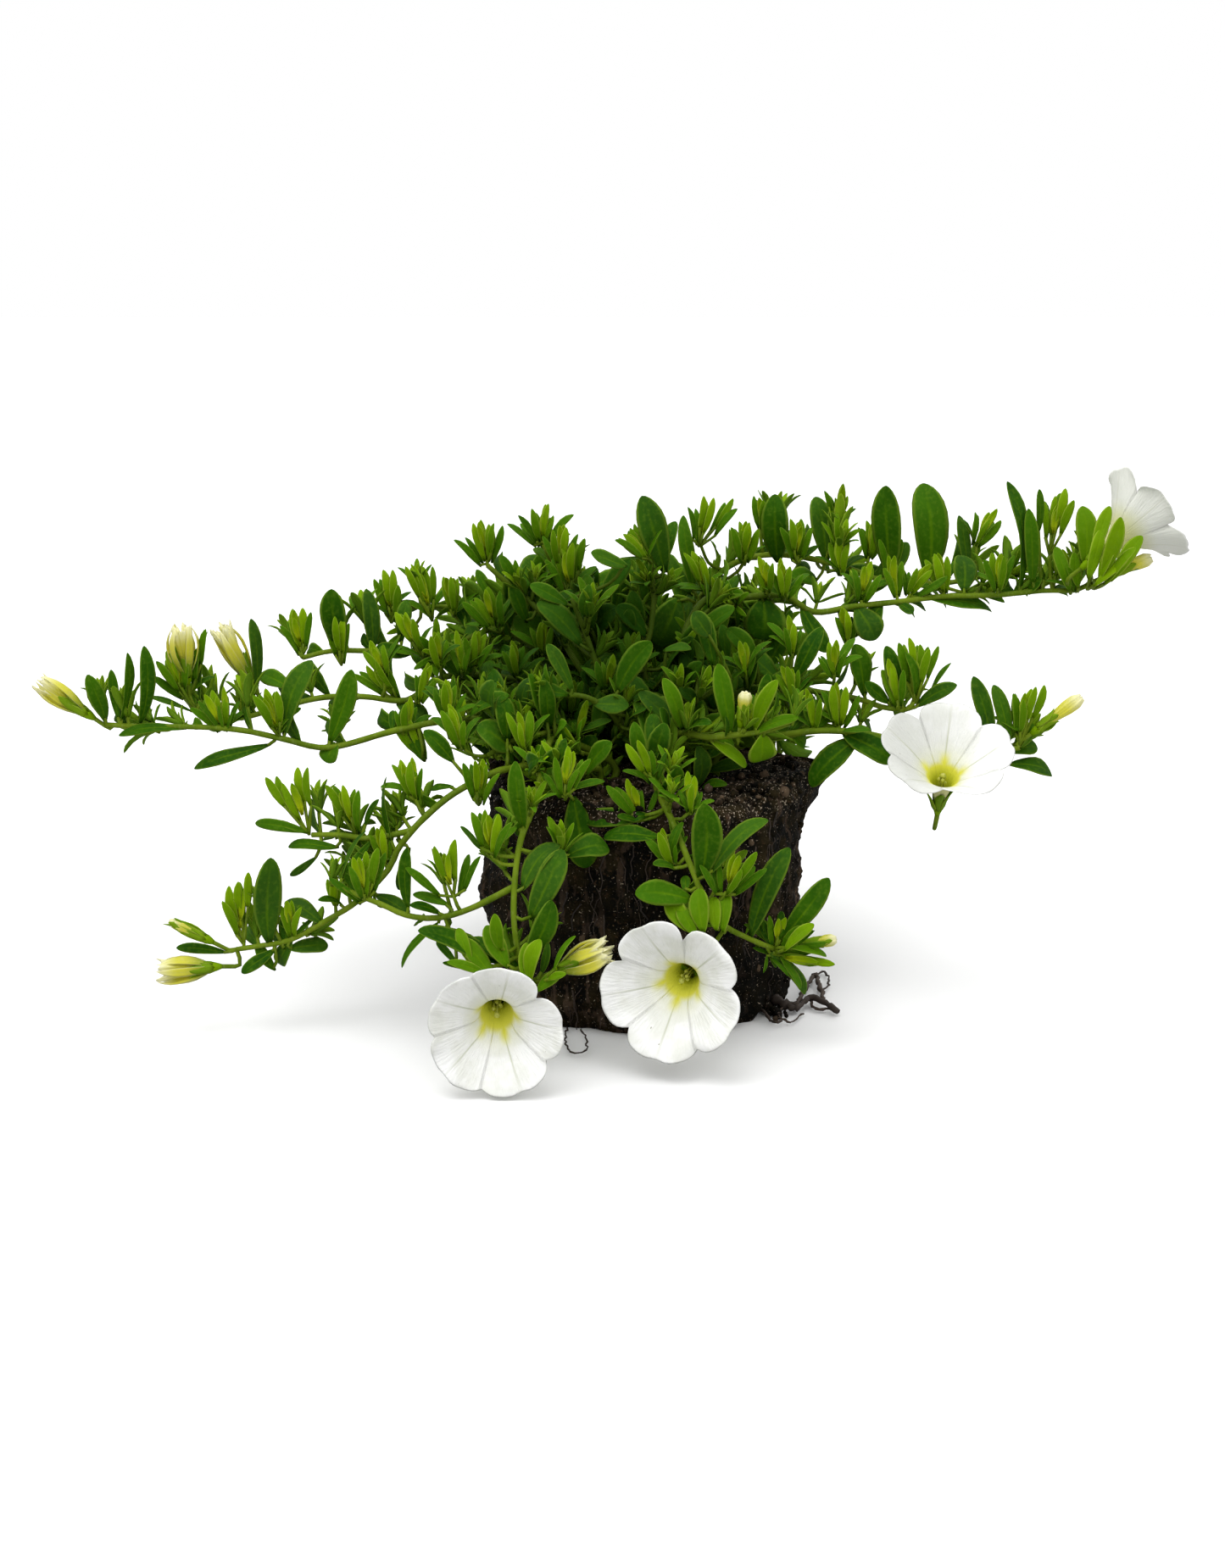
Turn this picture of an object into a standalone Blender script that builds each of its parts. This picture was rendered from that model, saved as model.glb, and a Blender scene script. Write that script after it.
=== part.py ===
"""A trailing plant with white funnel flowers, standing on its bare root ball.

The root ball rests on z = 0 with its axis on x = y = 0. Leafy shoots start on the soil and trail to both
sides, over the front and behind. Places that were read off the picture are named values in its pixels with
a depth in millimetres towards the viewer, and seen() turns them into metres.
"""

import math

import bmesh
import bpy
from mathutils import Matrix, Vector, noise
from mathutils.bvhtree import BVHTree

MM = 0.001

# Driving dimensions, in metres
BALL_HEIGHT = 69 * MM
BALL_TOP_RADIUS = 47.5 * MM
BALL_BASE_RADIUS = 43.5 * MM
BALL_EDGE = 3 * MM
BALL_ROUGHNESS = 1.6 * MM
CROWN_FLAT_RADIUS = 30 * MM
STEM_RADIUS = 1.15 * MM
STEM_TIP_RADIUS = 0.75 * MM
TWIG_RADIUS = 0.6 * MM
STEM_STEP = 13 * MM
LEAF_THICKNESS = 0.9 * MM
LEAF_WIDTH_SHARE = 0.36
GAP = 0.35 * MM
SEATED = 2 * MM
ROOTED = 1 * MM
FLOWER_DEPTH = 24 * MM
PETAL_THICKNESS = 0.8 * MM
CALYX_LENGTH = 12 * MM
CALYX_SPREAD = 5.6 * MM
CALYX_CUP_RADIUS = 2.4 * MM
CALYX_SEAT = 4.4 * MM
CALYX_HOLLOW = 1.4 * MM
BUD_SEAT = 3.6 * MM
BUD_CALYX_SHARE = 0.55
BUD_CALYX_CLEARANCE = 1.5 * MM
PEDICEL_STRAIGHT = 5 * MM

# The viewpoint, which places everything that was read in pixels
VIEW_ELEVATION = math.radians(14)
VIEW_DISTANCE = 0.650
VIEW_FOCAL = 2568
VIEW_CENTRE = (722.5, 925)
VIEW_TARGET = Vector((-0.010, 0, 0.0644))
AWAY = Vector((0, math.cos(VIEW_ELEVATION), -math.sin(VIEW_ELEVATION)))
RIGHT = Vector((1, 0, 0))
UP = Vector((0, math.sin(VIEW_ELEVATION), math.cos(VIEW_ELEVATION)))

# Each shoot: where it leaves the soil (x, y in mm), its route (px, py, mm towards the viewer), its tufts
# (base x, y, top x, y, half width in px) and its leaves (tip x, y, base x, y, width in px)
SHOOTS = {
    "left_long": {
        "start": (-15, -3),
        "route": (
            (650, 862, 8),
            (600, 850, 10),
            (560, 848, 12),
            (520, 851, 14),
            (462, 863, 16),
            (388, 882, 18),
            (335, 872, 20),
            (288, 862, 22),
            (240, 858, 22),
            (165, 857, 24),
            (125, 855, 24),
        ),
        "tufts": ((258, 858, 248, 812, 16), (548, 850, 536, 812, 13)),
        "leaves": (
            (103, 796, 125, 850, 20),
            (131, 790, 140, 850, 12),
            (150, 770, 143, 852, 8),
            (170, 762, 165, 855, 10),
            (140, 868, 220, 860, 14),
            (229, 907, 320, 878, 18),
            (385, 900, 396, 876, 26),
            (368, 779, 335, 868, 30),
            (415, 790, 388, 878, 25),
            (463, 838, 462, 862, 10),
        ),
    },
    "left_upper": {
        "start": (-17, 6),
        "route": (
            (640, 815, -6),
            (575, 797, -8),
            (520, 800, -8),
            (480, 826, -6),
            (430, 822, -4),
            (380, 823, 0),
            (330, 835, 2),
            (285, 847, 6),
            (250, 848, 8),
            (232, 838, 8),
        ),
        "tufts": (
            (455, 828, 452, 784, 18),
            (232, 838, 200, 765, 12),
            (285, 846, 283, 800, 12),
            (520, 800, 520, 765, 12),
        ),
        "leaves": (
            (173, 822, 228, 840, 10),
            (296, 730, 303, 812, 10),
            (307, 795, 345, 812, 22),
            (505, 850, 468, 830, 24),
            (245, 745, 236, 830, 12),
        ),
    },
    "left_high": {
        "start": (-12, 13),
        "route": (
            (650, 780, -22),
            (620, 758, -24),
            (585, 742, -26),
            (545, 757, -24),
            (515, 772, -22),
            (480, 768, -20),
            (440, 768, -18),
            (392, 768, -16),
            (357, 776, -14),
        ),
        "tufts": (
            (357, 776, 348, 720, 19),
            (395, 768, 396, 728, 15),
            (480, 768, 476, 722, 13),
            (515, 773, 517, 740, 12),
            (545, 790, 545, 757, 14),
            (585, 742, 572, 700, 16),
        ),
        "leaves": (
            (391, 695, 400, 766, 30),
            (432, 695, 440, 768, 20),
            (443, 765, 484, 772, 20),
            (612, 700, 597, 748, 18),
        ),
    },
    "left_top": {
        "start": (-7, 19),
        "route": (
            (670, 745, -36),
            (640, 725, -38),
            (600, 712, -40),
            (560, 718, -42),
            (520, 716, -42),
            (497, 716, -40),
            (458, 716, -38),
        ),
        "tufts": (
            (458, 716, 453, 674, 16),
            (497, 716, 490, 668, 15),
            (528, 718, 524, 684, 11),
            (565, 718, 556, 688, 13),
        ),
        "leaves": ((562, 672, 590, 716, 14),),
    },
    "top_left": {
        "start": (-4, 9),
        "route": ((685, 790, -10), (655, 742, -16), (620, 705, -18), (595, 685, -20), (575, 667, -20)),
        "tufts": ((575, 667, 566, 617, 28), (622, 706, 604, 672, 13)),
        "leaves": ((590, 655, 610, 694, 14), (603, 690, 622, 735, 18)),
    },
    "top_crown": {
        "start": (0, 14),
        "route": ((715, 780, -24), (690, 730, -28), (660, 680, -30), (641, 642, -30)),
        "tufts": ((641, 642, 636, 602, 33), (690, 728, 708, 690, 14)),
        "leaves": ((645, 612, 650, 664, 14), (605, 730, 668, 770, 42)),
    },
    "top_bright": {
        "start": (-3, 2),
        "route": ((715, 812, 4), (695, 760, 4), (675, 706, 4)),
        "tufts": ((675, 706, 668, 642, 23), (700, 780, 722, 745, 13)),
        "leaves": ((697, 652, 740, 668, 20), (625, 690, 672, 715, 20)),
    },
    "top_centre": {
        "start": (5, 10),
        "route": ((760, 790, -12), (768, 740, -15), (771, 700, -18), (768, 664, -20)),
        "tufts": ((768, 664, 738, 628, 14), (771, 705, 800, 672, 14)),
        "leaves": ((757, 585, 785, 676, 36), (797, 615, 780, 668, 18), (727, 715, 764, 752, 26)),
    },
    "upper_right_long": {
        "start": (13, 9),
        "route": (
            (805, 770, -12),
            (815, 730, -17),
            (838, 704, -20),
            (870, 705, -22),
            (925, 703, -22),
            (960, 722, -22),
            (1010, 715, -22),
            (1060, 710, -22),
            (1110, 704, -22),
            (1175, 702, -22),
            (1230, 697, -22),
            (1270, 696, -22),
            (1288, 686, -22),
        ),
        "tufts": (
            (838, 704, 818, 652, 14),
            (922, 704, 921, 662, 17),
            (1015, 714, 1022, 672, 16),
            (1075, 708, 1090, 674, 19),
            (1236, 660, 1250, 585, 15),
            (1260, 694, 1276, 650, 14),
            (1175, 702, 1180, 668, 12),
        ),
        "leaves": (
            (1033, 755, 1010, 716, 34),
            (1170, 722, 1095, 706, 26),
            (1077, 724, 1060, 712, 14),
            (903, 755, 900, 706, 50),
            (1188, 568, 1204, 695, 16),
            (1213, 600, 1218, 690, 18),
            (1277, 597, 1270, 690, 23),
            (1212, 700, 1230, 680, 20),
            (975, 770, 945, 716, 24),
        ),
    },
    "upper_right_back": {
        "start": (9, 20),
        "route": (
            (815, 745, -38),
            (830, 700, -44),
            (860, 668, -46),
            (900, 655, -46),
            (945, 657, -46),
            (1000, 670, -44),
            (1040, 684, -42),
            (1110, 688, -40),
            (1160, 680, -38),
        ),
        "tufts": (
            (835, 650, 843, 592, 28),
            (870, 668, 878, 622, 16),
            (915, 656, 899, 590, 12),
            (945, 657, 950, 617, 15),
            (990, 668, 987, 590, 13),
            (1020, 677, 1032, 617, 15),
            (1105, 688, 1110, 640, 17),
            (1160, 680, 1166, 608, 15),
        ),
        "leaves": (
            (914, 583, 918, 664, 32),
            (962, 586, 975, 664, 28),
            (1045, 573, 1050, 680, 34),
            (1089, 570, 1095, 684, 42),
            (806, 608, 818, 700, 16),
            (1131, 608, 1142, 682, 13),
        ),
    },
    "right_mid": {
        "start": (18, 5),
        "route": (
            (865, 822, 0),
            (920, 808, 2),
            (957, 815, 4),
            (1010, 824, 6),
            (1040, 834, 8),
            (1066, 838, 10),
        ),
        "tufts": (
            (1072, 834, 1090, 768, 22),
            (985, 812, 982, 764, 16),
            (925, 808, 930, 768, 15),
        ),
        "leaves": (
            (1045, 762, 1064, 832, 22),
            (1008, 760, 1020, 822, 30),
            (970, 740, 935, 806, 22),
            (1129, 808, 1080, 834, 18),
            (893, 780, 880, 816, 22),
        ),
    },
    "right_tip": {
        "start": (21, -4),
        "route": (
            (900, 872, 8),
            (940, 865, 12),
            (968, 862, 14),
            (1010, 864, 14),
            (1060, 874, 12),
            (1110, 890, 8),
            (1155, 892, 8),
            (1203, 882, 12),
        ),
        "tufts": ((992, 862, 992, 814, 20), (1203, 880, 1200, 826, 12), (1208, 880, 1222, 815, 14)),
        "leaves": (
            (956, 928, 1015, 868, 34),
            (1055, 900, 995, 866, 36),
            (1148, 798, 1172, 884, 22),
            (1172, 808, 1190, 880, 18),
            (1241, 909, 1196, 888, 24),
            (950, 880, 935, 868, 20),
        ),
    },
    "centre_front": {
        "start": (9, -17),
        "route": ((800, 866, 24), (835, 870, 28), (870, 867, 30), (905, 862, 32), (935, 852, 32)),
        "tufts": ((812, 866, 808, 828, 14), (935, 852, 945, 812, 14)),
        "leaves": (
            (847, 783, 862, 866, 24),
            (917, 802, 890, 862, 18),
            (942, 846, 890, 866, 14),
            (782, 800, 806, 862, 20),
            (880, 905, 838, 874, 18),
            (898, 898, 900, 866, 34),
        ),
    },
    "front_right": {
        "start": (3, -24),
        "route": (
            (775, 905, 30),
            (775, 930, 38),
            (792, 967, 50),
            (810, 1010, 56),
            (824, 1046, 60),
            (834, 1080, 60),
        ),
        "branches": (((824, 1046, 60), (850, 1088, 58), (885, 1108, 54), (915, 1120, 52)),),
        "tufts": (
            (772, 922, 762, 877, 22),
            (760, 964, 756, 930, 20),
            (800, 985, 810, 935, 11),
            (796, 1020, 776, 984, 18),
            (855, 1055, 862, 1012, 26),
            (915, 1120, 935, 1085, 14),
        ),
        "leaves": (
            (830, 948, 826, 1038, 36),
            (712, 988, 780, 988, 26),
            (688, 967, 765, 962, 26),
            (906, 967, 838, 1030, 24),
            (931, 1000, 885, 1106, 28),
            (978, 1036, 918, 1112, 26),
            (749, 1054, 818, 1062, 32),
            (950, 1173, 906, 1122, 16),
            (984, 1133, 920, 1124, 16),
            (792, 1066, 826, 1082, 18),
        ),
    },
    "front_left": {
        "start": (-10, -13),
        "route": (
            (655, 872, 22),
            (642, 905, 36),
            (628, 953, 50),
            (614, 992, 56),
            (608, 1031, 60),
            (606, 1081, 64),
            (612, 1128, 66),
            (628, 1160, 66),
        ),
        "branches": (
            (
                (607, 1046, 61),
                (555, 1072, 58),
                (515, 1083, 56),
                (480, 1080, 54),
                (450, 1067, 52),
                (420, 1055, 50),
                (390, 1040, 48),
            ),
        ),
        "tufts": (
            (580, 1012, 578, 960, 20),
            (532, 1062, 522, 1006, 26),
            (442, 1062, 443, 1012, 22),
            (392, 1042, 396, 1010, 12),
            (660, 1012, 662, 966, 18),
        ),
        "leaves": (
            (608, 898, 618, 978, 22),
            (660, 996, 616, 1050, 30),
            (650, 1062, 622, 1130, 28),
            (580, 1080, 612, 1128, 22),
            (552, 1108, 616, 1146, 20),
            (493, 1098, 590, 1136, 32),
            (474, 1142, 520, 1086, 12),
            (480, 1000, 482, 1074, 16),
        ),
    },
    "lower_left": {
        "start": (-18, -11),
        "route": (
            (610, 905, 26),
            (575, 915, 32),
            (537, 935, 36),
            (510, 956, 38),
            (486, 980, 40),
            (468, 1004, 40),
            (458, 1026, 40),
            (423, 1062, 42),
            (387, 1085, 42),
            (342, 1109, 42),
            (306, 1116, 42),
            (279, 1120, 42),
        ),
        "branches": (((486, 980, 40), (438, 989, 38), (400, 985, 36), (368, 985, 34)),),
        "tufts": (
            (505, 945, 480, 900, 19),
            (368, 985, 334, 928, 14),
            (372, 984, 360, 912, 12),
            (420, 986, 398, 935, 20),
            (300, 1116, 288, 1050, 18),
        ),
        "leaves": (
            (301, 971, 366, 982, 12),
            (340, 999, 400, 1000, 15),
            (319, 1012, 318, 1114, 33),
            (336, 1064, 380, 1090, 22),
            (387, 1115, 340, 1120, 22),
            (330, 1138, 345, 1108, 20),
            (285, 1148, 325, 1120, 16),
            (208, 1118, 268, 1124, 12),
            (456, 916, 462, 996, 10),
            (405, 1040, 440, 990, 12),
        ),
    },
    "centre_left": {
        "start": (-13, -8),
        "route": ((668, 858, 14), (640, 866, 20), (600, 876, 24), (575, 892, 27)),
        "tufts": ((618, 884, 610, 842, 15), (545, 888, 536, 842, 14), (575, 892, 566, 905, 10)),
        "leaves": ((562, 858, 606, 884, 40), (640, 800, 648, 862, 20)),
    },
    "centre_low": {
        "start": (-14, -21),
        "route": ((680, 915, 34), (668, 938, 42)),
        "tufts": ((667, 938, 668, 886, 24),),
        "leaves": ((640, 915, 668, 938, 12), (692, 1024, 676, 940, 40), (722, 876, 690, 915, 26)),
    },
    "centre_mid": {
        "start": (1, -8),
        "route": ((735, 860, 16), (715, 835, 20), (690, 822, 22), (672, 820, 24)),
        "tufts": ((672, 840, 672, 804, 14), (715, 828, 722, 776, 16), (735, 862, 756, 838, 12)),
        "leaves": ((742, 833, 700, 830, 26), (768, 757, 728, 818, 30), (645, 760, 676, 816, 20)),
    },
    "centre_right": {
        "start": (12, -6),
        "route": ((800, 838, 12), (830, 822, 14), (862, 800, 16)),
        "tufts": ((862, 800, 868, 762, 14), (822, 828, 836, 794, 12), (800, 838, 800, 800, 10)),
        "leaves": ((790, 735, 812, 826, 40), (835, 718, 838, 812, 26)),
    },
}

# Shoots behind the crown: points in mm after the start
BACK_SHOOTS = {
    "back_left": ((-16, 22), ((-24, 34, 92), (-34, 52, 96), (-43, 66, 84), (-48, 74, 62), (-50, 78, 40))),
    "back_left_low": ((-11, 27), ((-14, 42, 84), (-20, 58, 74), (-24, 68, 50), (-26, 72, 24))),
    "back_middle": ((-3, 25), ((-4, 44, 98), (-4, 66, 98), (-3, 84, 84), (-1, 96, 62))),
    "back_middle_low": ((4, 27), ((8, 44, 84), (12, 60, 72), (14, 68, 48), (14, 70, 22))),
    "back_right": ((13, 26), ((22, 40, 94), (32, 58, 98), (40, 74, 86), (45, 84, 66), (47, 88, 46))),
    "back_right_low": ((19, 20), ((30, 36, 84), (38, 52, 74), (42, 60, 50), (43, 62, 26))),
}
BACK_TUFT_SPACING = 14 * MM
BACK_TUFT_LENGTH = 12 * MM
BACK_TUFT_HALF_WIDTH = 4.5 * MM
BACK_LEAF_LENGTH = 19 * MM
BACK_LEAF_WIDTH = 7 * MM
LEAF_TURN = math.radians(137.5)

# Open flowers: shoot, centre of the rim (px, py, mm towards), facing (right, up, near), radius in mm,
# angle of one notch between two lobes in degrees
FLOWERS = {
    "front_left": ("front_left", (583.5, 1221, 91), (0, -0.24, 0.97), 18.4, 41),
    "front_right": ("front_right", (789.5, 1172, 78), (-0.27, -0.14, 0.95), 19.2, 4),
    "right": ("right_tip", (1118, 880, 35), (0, 0.69, 0.72), 19.0, 44),
    "top_right": ("upper_right_long", (1357, 603, -22), (0.76, 0.59, -0.26), 16.8, 20),
}

# Buds: shoot, base (px, py), tip (px, py), width in px
BUDS = {
    "left_tip": ("left_long", (112, 848), (46, 808), 22),
    "left_second": ("left_upper", (224, 812), (216, 737), 24),
    "left_third": ("left_upper", (300, 812), (262, 740), 26),
    "lower_left_low": ("lower_left", (262, 1140), (190, 1150), 24),
    "lower_left_high": ("lower_left", (252, 1112), (199, 1090), 17),
    "front": ("front_left", (650, 1148), (718, 1116), 26),
    "centre": ("centre_front", (873, 858), (882, 814), 20),
    "front_right": ("front_right", (938, 1116), (990, 1107), 18),
    "right_tip": ("right_tip", (1216, 866), (1278, 822), 17),
    "top_right": ("upper_right_long", (1304, 680), (1360, 658), 15),
}

FUNNEL_PROFILE = (
    (0.0, 0.0),
    (0.04, 0.05),
    (0.38, 0.15),
    (0.58, 0.32),
    (0.80, 0.68),
    (1.0, 1.0),
)
LOBES = 5
LOBE_NOTCH = 0.17
BUD_SWELL = (0, 0.30, 0.55, 0.95, 0.80, 0)
TUFT_TIP_HEIGHTS = (0.86, 1.0, 0.92)


def seen(px, py, toward):
    """The point at this pixel, this many millimetres in front of the root ball's axis."""
    eye = VIEW_TARGET - AWAY * VIEW_DISTANCE
    across = (px - VIEW_CENTRE[0]) / VIEW_FOCAL
    above = (VIEW_CENTRE[1] - py) / VIEW_FOCAL
    ray = AWAY + RIGHT * across + UP * above
    return eye + ray * ((-toward * MM - eye.y) / ray.y)


def pixel_of(point):
    """The pixel at which a point is seen."""
    offset = point - VIEW_TARGET
    depth = VIEW_DISTANCE + offset.dot(AWAY)
    across = VIEW_CENTRE[0] + VIEW_FOCAL * offset.dot(RIGHT) / depth
    above = VIEW_CENTRE[1] - VIEW_FOCAL * offset.dot(UP) / depth
    return Vector((across, above))


def pixel_size(point):
    """The width in metres of one pixel at a point."""
    return (VIEW_DISTANCE + (point - VIEW_TARGET).dot(AWAY)) / VIEW_FOCAL


def smooth_route(points, step):
    """Points along a curve through the given points, about a step apart."""
    ends = [2 * points[0] - points[1], *points, 2 * points[-1] - points[-2]]
    route = [points[0]]
    for before, start, end, after in zip(ends, ends[1:], ends[2:], ends[3:]):
        count = max(1, round((end - start).length / step))
        for index in range(1, count + 1):
            t = index / count
            away = 2 * start + t * (end - before)
            bend = t * t * (2 * before - 5 * start + 4 * end - after)
            twist = t**3 * (3 * start - before - 3 * end + after)
            route.append((away + bend + twist) / 2)
    return route


def clear_scene():
    for old in list(bpy.data.objects):
        bpy.data.objects.remove(old, do_unlink=True)


def new_collection(name):
    collection = bpy.data.collections.new(name)
    bpy.context.scene.collection.children.link(collection)
    return collection


def new_material(name, colour, roughness):
    material = bpy.data.materials.new(name)
    material.use_nodes = True
    shader = material.node_tree.nodes["Principled BSDF"]
    shader.inputs["Base Color"].default_value = (*colour, 1)
    shader.inputs["Roughness"].default_value = roughness
    shader.inputs["Metallic"].default_value = 0
    material.diffuse_color = (*colour, 1)
    return material


def object_from(name, shape, collection):
    """A mesh object from a bmesh, which is freed."""
    mesh = bpy.data.meshes.new(name)
    shape.to_mesh(mesh)
    shape.free()
    made = bpy.data.objects.new(name, mesh)
    collection.objects.link(made)
    return made


def frame_along(axis, face):
    """A rotation whose Z is the axis and whose Y is as near to face as it can be."""
    z = axis.normalized()
    x = face.cross(z)
    if x.length < 1e-6:
        x = z.orthogonal()
    x.normalize()
    return Matrix((x, z.cross(x), z)).transposed()


def limb(name, points, radii, resolution, collection):
    """A closed tapering stem through the points."""
    curve = bpy.data.curves.new(name, "CURVE")
    curve.dimensions = "3D"
    curve.bevel_depth = 1
    curve.bevel_resolution = resolution
    curve.use_fill_caps = True
    spline = curve.splines.new("POLY")
    spline.points.add(len(points) - 1)
    for place, point, radius in zip(spline.points, points, radii):
        place.co = (*point, 1)
        place.radius = radius
    guide = bpy.data.objects.new(name + "_guide", curve)
    collection.objects.link(guide)
    graph = bpy.context.evaluated_depsgraph_get()
    mesh = bpy.data.meshes.new_from_object(guide.evaluated_get(graph))
    shape = bmesh.new()
    shape.from_mesh(mesh)
    bmesh.ops.remove_doubles(shape, verts=shape.verts, dist=1e-6)
    bmesh.ops.recalc_face_normals(shape, faces=shape.faces)
    bpy.data.objects.remove(guide)
    return object_from(name, shape, collection)


def tapered(start, end, count):
    """Radii from start to end for a number of points."""
    return [start + (end - start) * index / (count - 1) for index in range(count)]


def ball_radius(height):
    return BALL_BASE_RADIUS + (BALL_TOP_RADIUS - BALL_BASE_RADIUS) * height / BALL_HEIGHT


def root_ball(collection):
    """Soil held together by roots: a rough cone stump with a flat underside and a level crown."""
    shape = bmesh.new()
    bmesh.ops.create_cone(
        shape,
        cap_ends=True,
        segments=28,
        radius1=BALL_BASE_RADIUS,
        radius2=BALL_TOP_RADIUS,
        depth=BALL_HEIGHT,
        matrix=Matrix.Translation((0, 0, BALL_HEIGHT / 2)),
    )
    sides = [edge for edge in shape.edges if abs(edge.verts[0].co.z - edge.verts[1].co.z) > BALL_EDGE]
    bmesh.ops.subdivide_edges(shape, edges=sides, cuts=4, use_grid_fill=True)
    top = [face for face in shape.faces if face.normal.z > 0.9]
    bmesh.ops.inset_region(shape, faces=top, thickness=BALL_EDGE)
    top = [face for face in shape.faces if face.normal.z > 0.9 and len(face.verts) > 4]
    bmesh.ops.inset_region(shape, faces=top, thickness=BALL_TOP_RADIUS - BALL_EDGE - CROWN_FLAT_RADIUS)
    for vertex in shape.verts:
        flat = Vector((vertex.co.x, vertex.co.y, 0))
        if flat.length < CROWN_FLAT_RADIUS + BALL_EDGE:
            continue
        rough = noise.noise(vertex.co / (9 * MM)) * BALL_ROUGHNESS
        rim = vertex.co.z > BALL_HEIGHT - MM
        foot = vertex.co.z < MM
        vertex.co += flat.normalized() * (rough - (BALL_EDGE / 2 if rim or foot else 0))
        if rim:
            vertex.co.z -= abs(noise.noise(vertex.co / (14 * MM))) * BALL_EDGE
    bmesh.ops.recalc_face_normals(shape, faces=shape.faces)
    return object_from("root_ball", shape, collection)


def blade(name, base, tip, width, facing, turn, collection):
    """A leaf: a flat spindle, widest towards its tip, that bends back a little."""
    length = (tip - base).length
    shape = bmesh.new()
    bmesh.ops.create_uvsphere(shape, u_segments=4, v_segments=3, radius=1)
    for vertex in shape.verts:
        along = (vertex.co.z + 1) / 2
        broad = 0 if along < 0.01 or along > 0.99 else (1.0 if along > 0.5 else 0.62)
        vertex.co.x *= broad * width / 2 / 0.866
        vertex.co.y *= (0.3 + 0.7 * broad) * LEAF_THICKNESS / 2 / 0.866
        vertex.co.z = along * length
        vertex.co.y += 0.12 * length * (along * (1 - along) - 0.06)
    pose = frame_along(tip - base, facing) @ Matrix.Rotation(turn, 3, "Z")
    shape.transform(Matrix.Translation(base) @ pose.to_4x4())
    return object_from(name, shape, collection)


def rosette(name, base, top, spread, collection):
    """A tuft of young leaves: a cup with five pointed tips round a raised heart."""
    height = (top - base).length
    shape = bmesh.new()
    bmesh.ops.create_uvsphere(shape, u_segments=10, v_segments=2, radius=1)
    for vertex in shape.verts:
        if vertex.co.z < -0.5:
            vertex.co.z = 0
        elif vertex.co.z > 0.5:
            vertex.co.z = height * 0.62
        else:
            step = round(math.atan2(vertex.co.y, vertex.co.x) / (math.tau / 10)) % 10
            tip = step % 2 == 0
            vertex.co.z = height * (TUFT_TIP_HEIGHTS[step % 3] if tip else 0.42)
            vertex.co.x *= spread * (1.0 if tip else 0.45)
            vertex.co.y *= spread * (1.0 if tip else 0.45)
    shape.transform(Matrix.Translation(base) @ frame_along(top - base, -AWAY).to_4x4())
    return object_from(name, shape, collection)


def corolla(name, base, axis, radius, notch, collection):
    """A flower's tube and its five lobes, grown together."""
    shape = bmesh.new()
    points = [shape.verts.new((r * radius, 0, s * FLOWER_DEPTH)) for s, r in FUNNEL_PROFILE]
    edges = [shape.edges.new(pair) for pair in zip(points, points[1:])]
    bmesh.ops.spin(
        shape,
        geom=points + edges,
        cent=(0, 0, 0),
        axis=(0, 0, 1),
        angle=math.tau,
        steps=4 * LOBES,
        use_merge=True,
    )
    bmesh.ops.remove_doubles(shape, verts=shape.verts, dist=1e-6)
    for vertex in shape.verts:
        reach = math.hypot(vertex.co.x, vertex.co.y) / radius
        lobe = abs(math.sin(LOBES / 2 * math.atan2(vertex.co.y, vertex.co.x)))
        pull = LOBE_NOTCH * max(0, reach - 0.5) / 0.5 * (1 - lobe**0.6)
        vertex.co.x *= 1 - pull
        vertex.co.y *= 1 - pull
    bmesh.ops.recalc_face_normals(shape, faces=shape.faces)
    pose = frame_along(axis, UP) @ Matrix.Rotation(math.radians(notch), 3, "Z")
    shape.transform(Matrix.Translation(base) @ pose.to_4x4())
    made = object_from(name, shape, collection)
    skin = made.modifiers.new("petal_thickness", "SOLIDIFY")
    skin.thickness = PETAL_THICKNESS
    skin.offset = 0
    return made


def calyx(name, base, axis, size, collection):
    """Five narrow sepals round a hollow that holds the foot of the tube."""
    length, spread, seat = size
    shape = bmesh.new()
    bmesh.ops.create_uvsphere(shape, u_segments=10, v_segments=2, radius=1)
    for vertex in shape.verts:
        if vertex.co.z < -0.5:
            vertex.co.z = 0
        elif vertex.co.z > 0.5:
            vertex.co.z = seat - CALYX_HOLLOW
        else:
            step = round(math.atan2(vertex.co.y, vertex.co.x) / (math.tau / 10)) % 10
            tip = step % 2 == 0
            vertex.co.z = length if tip else seat
            vertex.co.x *= spread if tip else CALYX_CUP_RADIUS
            vertex.co.y *= spread if tip else CALYX_CUP_RADIUS
    shape.transform(Matrix.Translation(base) @ frame_along(axis, -AWAY).to_4x4())
    return object_from(name, shape, collection)


def bud_petals(name, base, tip, width, collection):
    """Folded petals: a spindle that swells towards its blunt tip."""
    length = (tip - base).length
    shape = bmesh.new()
    bmesh.ops.create_uvsphere(shape, u_segments=6, v_segments=5, radius=1)
    for vertex in shape.verts:
        ring = round(math.acos(max(-1, min(1, -vertex.co.z))) / (math.pi / 5))
        flat = math.hypot(vertex.co.x, vertex.co.y) or 1
        vertex.co.x *= BUD_SWELL[ring] * width / 2 / flat
        vertex.co.y *= BUD_SWELL[ring] * width / 2 / flat
        vertex.co.z = length * ring / 5
    shape.transform(Matrix.Translation(base) @ frame_along(tip - base, -AWAY).to_4x4())
    return object_from(name, shape, collection)


def surface_tree(made, swell):
    """A search tree of an object's surface, moved out by swell."""
    graph = bpy.context.evaluated_depsgraph_get()
    shape = bmesh.new()
    shape.from_object(made, graph)
    shape.normal_update()
    for vertex in shape.verts:
        vertex.co += vertex.normal * swell
    tree = BVHTree.FromBMesh(shape)
    shape.free()
    return tree


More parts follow.
